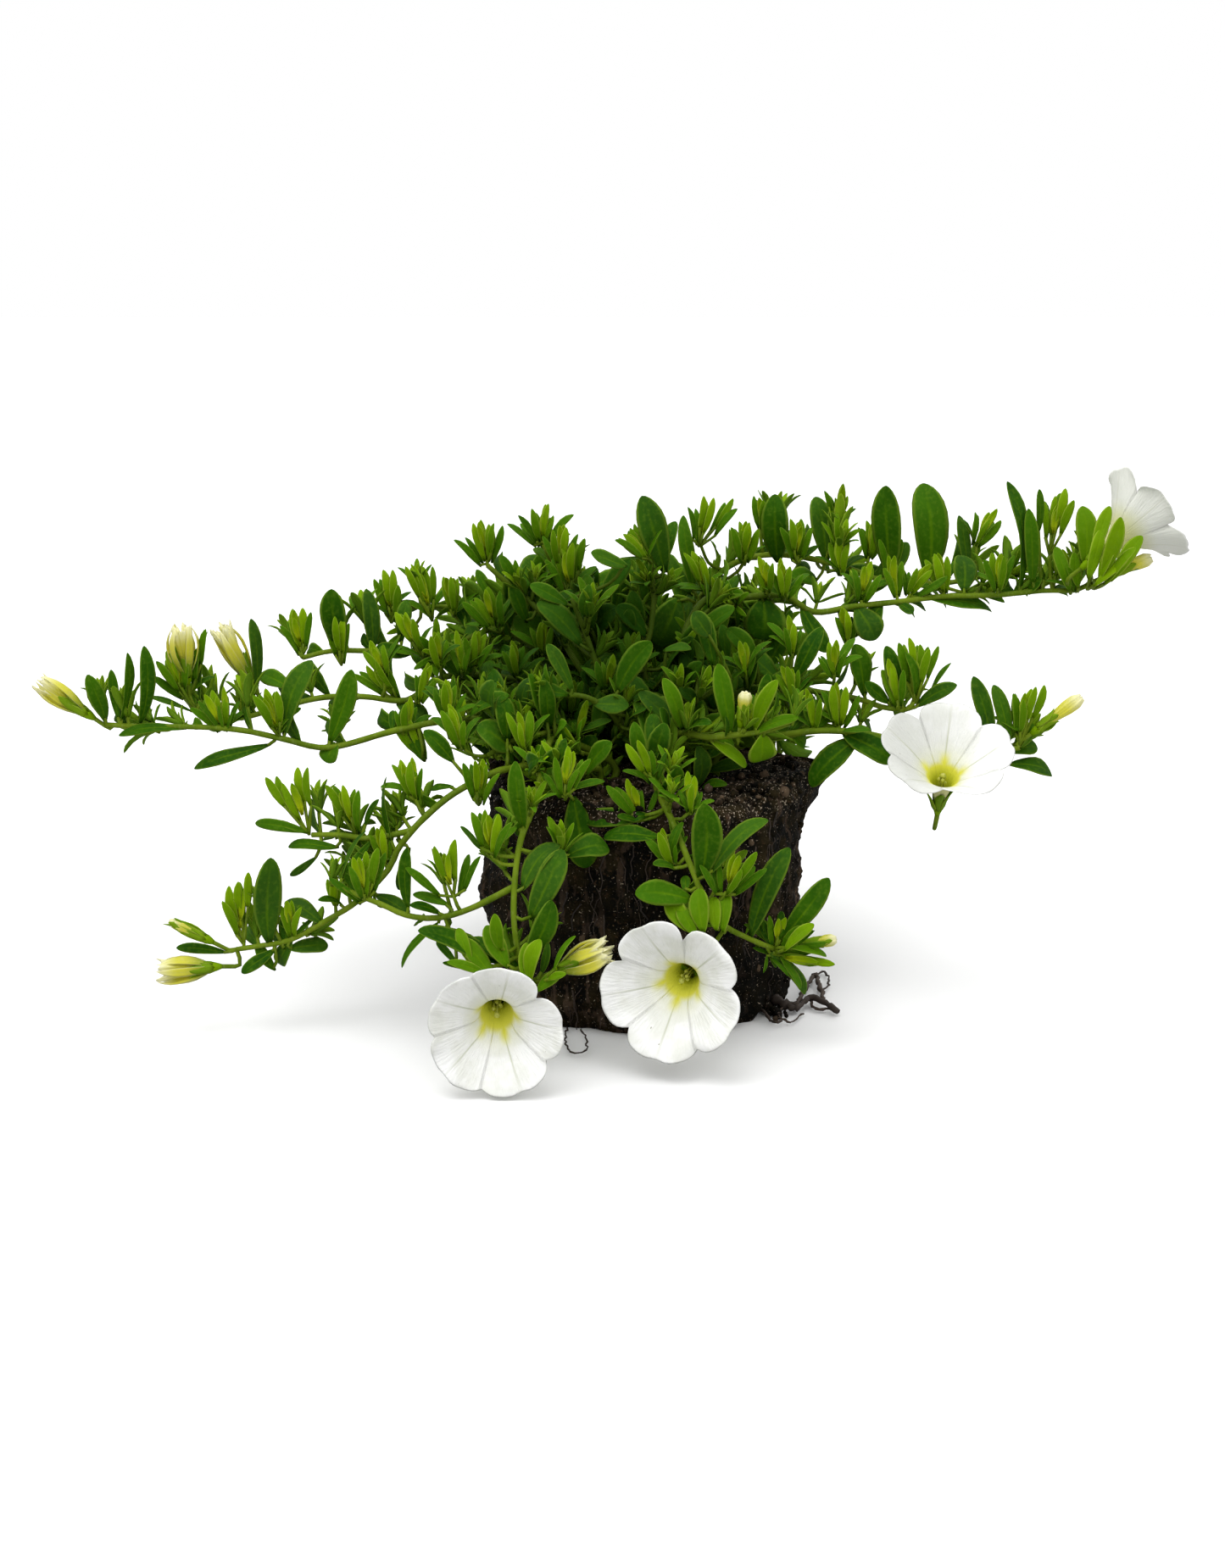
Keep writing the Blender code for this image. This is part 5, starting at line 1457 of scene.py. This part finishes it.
def grow_roots(growth, rng):
    """Fine roots that run down the ball's sides."""
    for _ in range(ROOTS):
        angle = rng.uniform(0, math.tau)
        z = rng.uniform(6 * MM, BALL_HEIGHT - 3 * MM)
        drift = rng.uniform(-1, 1)
        points = []
        for step in range(rng.randrange(*ROOT_PARTS)):
            turned = angle + drift * step * 0.012 + 0.05 * noise.noise(Vector((step * 0.4, angle * 5, 0)))
            reach = ball_radius(z) + (0.1 + 0.6 * noise.noise(Vector((step * 0.5, angle, 9)))) * MM
            out = spoke(turned)
            place = out * reach + Vector((0, 0, z))
            points.append(place + out * soil_depth(place, turned) * 0.8)
            z -= rng.uniform(*ROOT_STEPS) * MM
            if z < 0.6 * MM:
                break
        if len(points) > 3:
            radius = rng.uniform(*ROOT_RADII) * MM
            radii = np.linspace(radius, radius * 0.5, len(points))
            grow_tube(growth, points, radii, TWIG_SIDES, 0, rng.random(), slot=0)


def grow_loose_roots(growth, rng):
    """The roots that trail away from the ball's foot on the floor."""
    for radius, line in LOOSE_ROOTS:
        places = [on_floor(px, py, 0.6 + radius + rng.uniform(0, 1.2)) for px, py in line]
        points = smooth_route(places, 1.2 * MM)
        points = [point + Vector((rng.gauss(0, 0.25), rng.gauss(0, 0.25), 0)) * MM for point in points]
        radii = [radius * MM * rng.uniform(0.7, 1.3) for _ in points]
        grow_tube(growth, points, radii, 6, 0, rng.uniform(0.6, 0.95), slot=0)


def look(name, roughness, sheen=0.5):
    """A new material, short ways to add its nodes, and its shader."""
    material = bpy.data.materials.new(name)
    material.use_nodes = True
    shader = material.node_tree.nodes["Principled BSDF"]
    shader.inputs["Roughness"].default_value = roughness
    shader.inputs["Specular IOR Level"].default_value = sheen
    return material, Nodes(material.node_tree), shader


class Nodes:
    """Short ways to add nodes to a tree."""

    def __init__(self, tree):
        self.tree = tree

    def put(self, value, socket):
        """Sets a socket to a number or a colour, or links it to another socket."""
        if isinstance(value, bpy.types.NodeSocket):
            self.tree.links.new(value, socket)
        elif isinstance(value, tuple) and len(socket.default_value) == 4:
            socket.default_value = (*value, 1)
        else:
            socket.default_value = value

    def new(self, kind, *values):
        """A new node whose first inputs have these values."""
        made = self.tree.nodes.new("ShaderNode" + kind)
        for value, socket in zip(values, made.inputs):
            self.put(value, socket)
        return made

    def parts(self, name):
        """The three numbers of a mesh attribute."""
        read = self.new("Attribute")
        read.attribute_name = name
        return self.new("SeparateXYZ", read.outputs["Vector"]).outputs

    def math(self, operation, a, b=0.0, clamp=False):
        """The result of a calculation with two numbers."""
        made = self.new("Math", a, b)
        made.operation = operation
        made.use_clamp = clamp
        return made.outputs[0]

    def times(self, a, b):
        """The product of two numbers."""
        return self.math("MULTIPLY", a, b)

    def mix(self, factor, a, b):
        """The colour a, or b where the factor is 1."""
        made = self.new("Mix", factor)
        made.data_type = "RGBA"
        self.put(a, made.inputs[6])
        self.put(b, made.inputs[7])
        return made.outputs[2]

    def span(self, value, low, high, start=0.0, end=1.0):
        """A smooth step of a value, from start where it is low to end where it is high."""
        made = self.new("MapRange", value, low, high, start, end)
        made.interpolation_type = "SMOOTHSTEP"
        return made.outputs[0]

    def tint(self, colour, other, value, low, high, share=1.0):
        """A colour that turns by this share into another as a value goes from low to high."""
        return self.mix(self.span(value, low, high, 0.0, share), colour, other)

    def noise(self, scale, detail=3, stretch=(1, 1, 1)):
        """Noise in the object's own space, drawn out where stretch is small."""
        turn = self.new("Mapping", self.new("TexCoord").outputs["Object"])
        turn.inputs["Scale"].default_value = stretch
        return self.clouds(turn.outputs[0], scale, detail)

    def clouds(self, place, scale, detail):
        """Noise at a place that other nodes give."""
        made = self.new("TexNoise", place)
        made.inputs["Scale"].default_value = scale
        made.inputs["Detail"].default_value = detail
        return made.outputs[0]

    def bump(self, height, distance, strength, shader):
        """A fine relief, distance being its depth in metres."""
        made = self.new("Bump")
        made.inputs["Strength"].default_value = strength
        made.inputs["Distance"].default_value = distance
        self.put(height, made.inputs["Height"])
        self.put(made.outputs[0], shader.inputs["Normal"])
        return made.outputs[0]

    def glow_through(self, shader, colour, share, normal):
        """Mixes light that shines through into the material."""
        through = self.new("BsdfTranslucent", colour)
        self.put(normal, through.inputs["Normal"])
        both = self.new("MixShader", share, shader.outputs[0], through.outputs[0])
        self.put(both.outputs[0], self.tree.nodes["Material Output"].inputs["Surface"])


# Leaf colours by age, of the painted shade deep in the crown, of dull leaves, of the fuzz and of young rims
LEAF_OLD = (0.013, 0.068, 0.0005)
LEAF_MID = (0.064, 0.184, 0.001)
LEAF_YOUNG = (0.222, 0.392, 0.001)
LEAF_HEART = (0.460, 0.560, 0.006)
LEAF_PAINTED_SHADE = (0.010, 0.046, 0.001)
LEAF_GREY = (0.050, 0.118, 0.016)
LEAF_FUZZ = (0.240, 0.380, 0.030)
LEAF_RIM = (0.520, 0.660, 0.075)


def leaf_look():
    """Green by age, with a paler midrib and underside, a light fuzzy rim and painted shade that darkens
    leaves deep inside the crown.
    """
    material, n, shader = look("leaf_green", 0.6, 0.05)
    along, across, under = n.parts("leaf")
    age, tone, depth = n.parts("mood")
    fine = n.noise(900, 4)
    side = n.math("ABSOLUTE", across)
    colour = n.tint(LEAF_OLD, LEAF_MID, age, 0.0, 0.45)
    colour = n.tint(colour, LEAF_YOUNG, age, 0.4, 0.75)
    colour = n.mix(n.times(n.span(age, 0.7, 1.0), n.span(along, 0.9, 0.1)), colour, LEAF_HEART)
    dull = n.times(n.span(tone, 0.5, 1.0), n.span(age, 0.5, 0.0, 0.0, 0.55))
    colour = n.mix(dull, colour, LEAF_GREY)
    colour = n.tint(colour, LEAF_MID, n.noise(160, 2), 0.35, 0.68, 0.28)
    colour = n.tint(colour, LEAF_FUZZ, fine, 0.45, 0.75, 0.16)
    rib = n.times(n.span(side, 0.16, 0.02), n.span(along, 1.0, 0.4, 0.0, 0.22))
    colour = n.mix(rib, colour, LEAF_YOUNG)
    colour = n.tint(colour, n.tint(LEAF_FUZZ, LEAF_RIM, age, 0.25, 0.75), side, 0.74, 0.95, 0.62)
    colour = n.mix(n.times(under, 0.30), colour, LEAF_FUZZ)
    # Painted shade: leaves are darkened the deeper inside the crown they lie, where shade falls
    colour = n.tint(colour, LEAF_PAINTED_SHADE, depth, 0.15, 0.85, 0.75)
    n.put(colour, shader.inputs["Base Color"])
    n.put(n.span(fine, 0.3, 0.7, 0.50, 0.68), shader.inputs["Roughness"])
    veins = n.times(n.span(side, 0.18, 0.0), -0.8)
    normal = n.bump(n.math("ADD", veins, fine), 0.00018, 0.5, shader)
    n.glow_through(shader, n.mix(0.35, colour, LEAF_YOUNG), 0.22, normal)
    return material


# Stem colours: dark, pale, hairs, and the painted shade deep in the crown
STEM_DARK = (0.085, 0.145, 0.005)
STEM_PALE = (0.150, 0.220, 0.010)
STEM_HAIR = (0.22, 0.28, 0.07)
STEM_PAINTED_SHADE = (0.022, 0.045, 0.002)


def stem_look():
    """Yellow-green stems with painted shade that darkens them inside the crown, and short hairs as a fine
    grain.
    """
    material, n, shader = look("stem_green", 0.55, 0.05)
    _, _, depth = n.parts("mood")
    fine = n.noise(1400, 3, (1, 1, 0.35))
    colour = n.tint(STEM_DARK, STEM_PALE, n.noise(120, 2), 0.3, 0.7)
    colour = n.tint(colour, STEM_HAIR, fine, 0.5, 0.72, 0.30)
    # Painted shade: stems are darkened the deeper inside the crown they lie
    colour = n.tint(colour, STEM_PAINTED_SHADE, depth, 0.05, 0.6, 0.8)
    n.put(colour, shader.inputs["Base Color"])
    n.bump(fine, 0.0002, 0.6, shader)
    return material


PETAL_SHADE = (0.84, 0.85, 0.79)
PETAL_WHITE = (0.96, 0.965, 0.945)
PETAL_PAINTED_SHADE = (0.56, 0.57, 0.53)
PETAL_CREASE_SHADE = (0.55, 0.56, 0.46)
PETAL_VEIN = (0.36, 0.39, 0.22)
THROAT_GLOW = (0.78, 0.80, 0.36)
THROAT_RIM = (0.74, 0.72, 0.070)
THROAT_DEEP = (0.62, 0.66, 0.030)
PETAL_SPECK = (0.16, 0.14, 0.06)
OUTSIDE_RIM = (0.84, 0.85, 0.78)
OUTSIDE_FOOT = (0.70, 0.70, 0.30)
OUTSIDE_VEIN = (0.50, 0.50, 0.30)


def petal_look():
    """White petals with grey-green veins, a yellow-green throat and a few specks, duller on the outside, with
    painted shade on their left side and along the creases between the lobes.
    """
    material, n, shader = look("petal_white", 0.55, 0.2)
    reach, turn, outside = n.parts("leaf")
    _, left_shade, _ = n.parts("mood")
    grain = n.noise(420, 4)
    middle = n.math("ABSOLUTE", n.math("SUBTRACT", turn, 0.5))
    vein = n.times(n.span(middle, 0.030, 0.004), n.span(reach, 1.0, 0.35, 0.12, 0.87))
    # Painted shade along the creases between the lobes, strongest near the rim
    fold = n.times(n.span(middle, 0.455, 0.497), n.span(reach, 1.0, 0.6, 0.0, 0.18))
    colour = n.tint(PETAL_SHADE, PETAL_WHITE, n.noise(150, 4), 0.34, 0.62)
    # Painted shade on the flower's left side, greying the petals
    colour = n.mix(n.times(left_shade, 0.8), colour, PETAL_PAINTED_SHADE)
    colour = n.mix(fold, colour, PETAL_CREASE_SHADE)
    colour = n.mix(n.times(vein, 0.74), colour, PETAL_VEIN)
    colour = n.tint(colour, THROAT_GLOW, reach, 0.52, 0.26, 0.28)
    ray = n.times(n.span(reach, 0.42, 0.26), n.span(n.times(middle, reach), 0.10, 0.0))
    throat = n.math("MAXIMUM", n.span(reach, 0.30, 0.23), ray)
    colour = n.mix(throat, colour, THROAT_RIM)
    colour = n.tint(colour, THROAT_DEEP, reach, 0.25, 0.13)
    colour = n.tint(colour, PETAL_SPECK, n.noise(640, 1), 0.79, 0.82, 0.7)
    faded = n.tint(OUTSIDE_RIM, OUTSIDE_FOOT, reach, 0.62, 0.20)
    faded = n.mix(n.times(vein, 0.45), faded, OUTSIDE_VEIN)
    colour = n.mix(outside, colour, faded)
    n.put(colour, shader.inputs["Base Color"])
    n.put(n.span(grain, 0.3, 0.7, 0.48, 0.66), shader.inputs["Roughness"])
    ribs = n.clouds(n.new("CombineXYZ", n.times(turn, 14.0), n.times(reach, 2.5)).outputs[0], 2.0, 4)
    normal = n.bump(n.math("ADD", ribs, n.times(grain, 0.3)), 0.0006, 0.6, shader)
    n.glow_through(shader, colour, 0.08, normal)
    return material


BUD_FOOT = (0.34, 0.43, 0.012)
BUD_MIDDLE = (0.76, 0.73, 0.055)
BUD_TIP = (0.95, 0.93, 0.62)
BUD_RIDGE = (0.62, 0.62, 0.08)
BUD_CREASE = (0.96, 0.95, 0.78)
BUD_STREAK = (0.80, 0.76, 0.22)


def bud_look():
    """Cream petals, folded, yellower towards the calyx."""
    material, n, shader = look("bud_cream", 0.55)
    along, across, _ = n.parts("leaf")
    fold = n.math("ABSOLUTE", across)
    colour = n.tint(BUD_FOOT, BUD_MIDDLE, along, 0.10, 0.55)
    colour = n.tint(colour, BUD_TIP, along, 0.62, 1.04)
    colour = n.tint(colour, BUD_RIDGE, fold, 0.22, 0.0, 0.40)
    colour = n.tint(colour, BUD_CREASE, fold, 0.80, 1.0, 0.40)
    colour = n.tint(colour, BUD_STREAK, n.noise(1100, 3), 0.5, 0.7, 0.25)
    n.put(colour, shader.inputs["Base Color"])
    normal = n.bump(n.noise(500, 3), 0.0002, 0.4, shader)
    n.glow_through(shader, colour, 0.3, normal)
    return material


STAMEN_DARK = (0.30, 0.34, 0.03)
STAMEN_PALE = (0.48, 0.48, 0.08)


def throat_look():
    """Pale green stamens and style."""
    material, n, shader = look("stamen_green", 0.5)
    colour = n.tint(STAMEN_DARK, STAMEN_PALE, n.noise(2000, 3), 0.35, 0.65)
    n.put(colour, shader.inputs["Base Color"])
    return material


SOIL_WET = (0.0022, 0.0021, 0.0012)
SOIL_MOIST = (0.022, 0.016, 0.0065)
SOIL_FIBRE = (0.070, 0.046, 0.031)
SOIL_RUST = (0.060, 0.034, 0.016)
SOIL_PATCH = (0.003, 0.003, 0.002)
SOIL_CRUMB = (0.130, 0.088, 0.055)
SOIL_FLECK = (0.28, 0.23, 0.17)


def soil_look():
    """Dark moist soil with fibres, pale and rusty specks, and the most pale flecks on its top."""
    material, n, shader = look("soil_dark", 0.9, 0.06)
    height, _, _ = n.parts("leaf")
    _, tone, _ = n.parts("mood")
    clods = n.noise(170, 5)
    specks = n.noise(900, 4)
    fibre = n.noise(420, 4, (1, 1, 0.12))
    colour = n.tint(SOIL_WET, SOIL_MOIST, clods, 0.38, 0.66)
    colour = n.tint(colour, SOIL_FIBRE, fibre, 0.54, 0.64, 0.70)
    colour = n.tint(colour, SOIL_RUST, specks, 0.58, 0.68, 0.7)
    colour = n.tint(colour, SOIL_PATCH, n.noise(38, 2), 0.46, 0.62, 0.75)
    colour = n.tint(colour, SOIL_CRUMB, tone, 0.80, 0.95, 0.65)
    bare = n.span(height, 0.80, 0.97, 0.66, 0.60)
    colour = n.tint(colour, SOIL_FLECK, n.math("SUBTRACT", n.noise(1500, 2), bare), 0.0, 0.06)
    n.put(colour, shader.inputs["Base Color"])
    n.put(n.span(clods, 0.3, 0.7, 0.7, 0.98), shader.inputs["Roughness"])
    n.bump(n.math("ADD", clods, n.times(specks, 0.5)), 0.0012, 0.9, shader)
    return material


ROOT_DARK = (0.007, 0.004, 0.003)
ROOT_PALE = (0.062, 0.040, 0.026)
ROOT_GRAIN = (0.03, 0.018, 0.010)


def root_look():
    """Brown roots, some darker than others."""
    material, n, shader = look("root_brown", 0.8)
    _, tone, _ = n.parts("mood")
    grain = n.noise(1200, 3, (1, 1, 0.3))
    colour = n.mix(n.math("POWER", tone, 2.0), ROOT_DARK, ROOT_PALE)
    colour = n.tint(colour, ROOT_GRAIN, grain, 0.4, 0.7, 0.5)
    n.put(colour, shader.inputs["Base Color"])
    n.bump(grain, 0.0001, 0.5, shader)
    return material


FLOOR_WHITE = (0.92, 0.92, 0.92)


def floor_look():
    """A pale floor that throws less light back up than it shows."""
    material, n, shader = look("floor_white", 0.9)
    dim = (FLOOR_BOUNCE, FLOOR_BOUNCE, FLOOR_BOUNCE)
    seen_by_camera = n.new("LightPath").outputs["Is Camera Ray"]
    n.put(n.mix(seen_by_camera, dim, FLOOR_WHITE), shader.inputs["Base Color"])
    return material


def keep(piece, slot_name, *nodes):
    """Fixes a piece to the model and lets it stand for these nodes."""
    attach(piece, "root")
    if nodes:
        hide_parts(*nodes)


def build_camera():
    """The camera that the pixel readings belong to."""
    camera = bpy.data.cameras.new("camera")
    camera.sensor_width = 36
    camera.lens = 36 * VIEW_FOCAL / max(VIEW_SIZE)
    camera.clip_start = 0.01
    camera.clip_end = 20
    made = bpy.data.objects.new("camera", camera)
    made.location = EYE
    made.rotation_mode = "QUATERNION"
    made.rotation_quaternion = AWAY.to_track_quat("-Z", "Y")
    bpy.context.scene.collection.objects.link(made)
    bpy.context.scene.camera = made


def area_light(name, place, target, size, power):
    """A round light that faces its target."""
    light = bpy.data.lights.new(name, "AREA")
    light.shape = "DISK"
    light.size = size
    light.energy = power
    made = bpy.data.objects.new(name, light)
    made.location = place
    made.rotation_mode = "QUATERNION"
    made.rotation_quaternion = (Vector(target) - Vector(place)).to_track_quat("-Z", "Y")
    bpy.context.scene.collection.objects.link(made)


def build_studio():
    """A white backdrop, a sky that is brighter above and lights the plant, one large light and the floor."""
    scene = bpy.context.scene
    scene.view_settings.view_transform = "Standard"
    scene.view_settings.look = "None"
    world = bpy.data.worlds.new("studio")
    scene.world = world
    world.use_nodes = True
    tree = world.node_tree
    n = Nodes(tree)
    above = n.new("SeparateXYZ", n.new("TexCoord").outputs["Generated"]).outputs[2]
    rise = n.math("MULTIPLY", above, SKY_RISE, True)
    light = n.new("Background", WHITE, n.math("ADD", rise, SKY_LOW))
    backdrop = tree.nodes["Background"]
    n.put(WHITE, backdrop.inputs["Color"])
    seen_by_camera = n.new("LightPath").outputs["Is Camera Ray"]
    both = n.new("MixShader", seen_by_camera, light.outputs[0], backdrop.outputs[0])
    n.put(both.outputs[0], tree.nodes["World Output"].inputs["Surface"])
    area_light("key_light", KEY_PLACE, KEY_TARGET, KEY_SIZE, KEY_POWER)
    mesh = bpy.data.meshes.new("floor")
    shape = bmesh.new()
    bmesh.ops.create_grid(shape, x_segments=1, y_segments=1, size=FLOOR_SIZE)
    shape.to_mesh(mesh)
    shape.free()
    floor = bpy.data.objects.new("floor", mesh)
    mesh.materials.append(floor_look())
    scene.collection.objects.link(floor)


build_camera()
build_studio()

leaf_green = leaf_look()
stem_green = stem_look()
petal_white = petal_look()
bud_cream = bud_look()
stamen_green = throat_look()
soil_dark = soil_look()
root_brown = root_look()

soil = root_ball()
grow_crumbs(soil, random.Random("crumbs"))
keep(soil.piece("soil", [soil_dark]), "soil", "root_ball")
roots = Growth()
grow_roots(roots, random.Random("roots"))
grow_loose_roots(roots, random.Random("loose roots"))
keep(roots.piece("fine_roots", [root_brown]), "soil")

outline = Outline()
routes = {name: stem_routes(plan) for name, plan in SHOOTS.items()}
for name, (start, places) in BACK_SHOOTS.items():
    points = soil_start(*start) + [Vector(place) * MM for place in places]
    routes[name] = [smooth_route(points, STEM_STEP)]

foliage = {name: Growth() for name in routes}
rng = random.Random("readings")
for base, tips in FANS:
    shoot = nearest_shoot(routes, base)
    grow_fan(foliage[shoot], routes[shoot], base, tips, outline, rng)
groups = (
    (MORE_LEAVES, OLD_AGES, 0),
    (BRIGHT_LEAVES, BRIGHT_AGES, BRIGHT_SHIFT),
    (NEAR_LEAVES, NEAR_AGES, NEAR_SHIFT),
)
for leaves, ages, shift in groups:
    for leaf in leaves:
        shoot = nearest_shoot(routes, leaf[2:4])
        grow_seen_leaf(foliage[shoot], routes[shoot], leaf, ages, outline, rng, shift)
for name, lines in routes.items():
    rng = random.Random(name)
    grow_stems(foliage[name], lines, rng)
    if name in SHOOTS:
        grow_listed(foliage[name], lines, SHOOTS[name], outline, rng)
grow_canopy(foliage, routes, outline, random.Random("canopy"))
for name, lines in routes.items():
    rng = random.Random("fill_" + name)
    if name in SHOOTS:
        grow_fill(foliage[name], lines, outline, rng)
    else:
        grow_fill(foliage[name], lines, outline, rng, BACK_PACE * FILL_STEP, BACK_SIZE)

for name in FLOWERS:
    rng = random.Random("flower_" + name)
    foot, axis, radius = flower_pose(name)
    shoot = FLOWERS[name][0]
    calyx_foot = foot - axis * CALYX_SEAT
    grow_pedicel(foliage[shoot], routes[shoot], calyx_foot, axis, rng)
    petals = Growth()
    grow_funnel(petals, name)
    keep(petals.piece(f"petals_{name}", [petal_white]), "petal", f"corolla_{name}")
    sepals = Growth()
    grow_sepals(sepals, calyx_foot, axis, CALYX_LENGTH, SEPAL_SPREAD, CALYX_SEAT, rng)
    keep(sepals.piece(f"sepals_{name}", [leaf_green]), "calyx", f"calyx_{name}")
    stamens = Growth()
    grow_stamens(stamens, name, rng)
    keep(stamens.piece(f"stamens_{name}", [stamen_green]), "calyx")

for name in BUDS:
    rng = random.Random("bud_" + name)
    shoot = BUDS[name][0]
    foot, tip, width = bud_pose(name, routes)
    opened, covered = BUDS[name][4:]
    axis = (tip - foot).normalized()
    grow_pedicel(foliage[shoot], routes[shoot], foot, axis, rng)
    petals = Growth()
    grow_bud(petals, foot, tip, width, opened, rng)
    keep(petals.piece(f"folded_petals_{name}", [bud_cream]), "bud", f"bud_{name}")
    sepals = Growth()
    length = (tip - foot).length
    grow_sepals(sepals, foot, axis, length * covered, width * 0.50, BUD_SEAT, rng)
    keep(sepals.piece(f"bud_sepals_{name}", [leaf_green]), "calyx", f"bud_calyx_{name}")

for name, growth in foliage.items():
    keep(growth.piece(f"shoot_{name}", [leaf_green, stem_green]), "foliage", name)
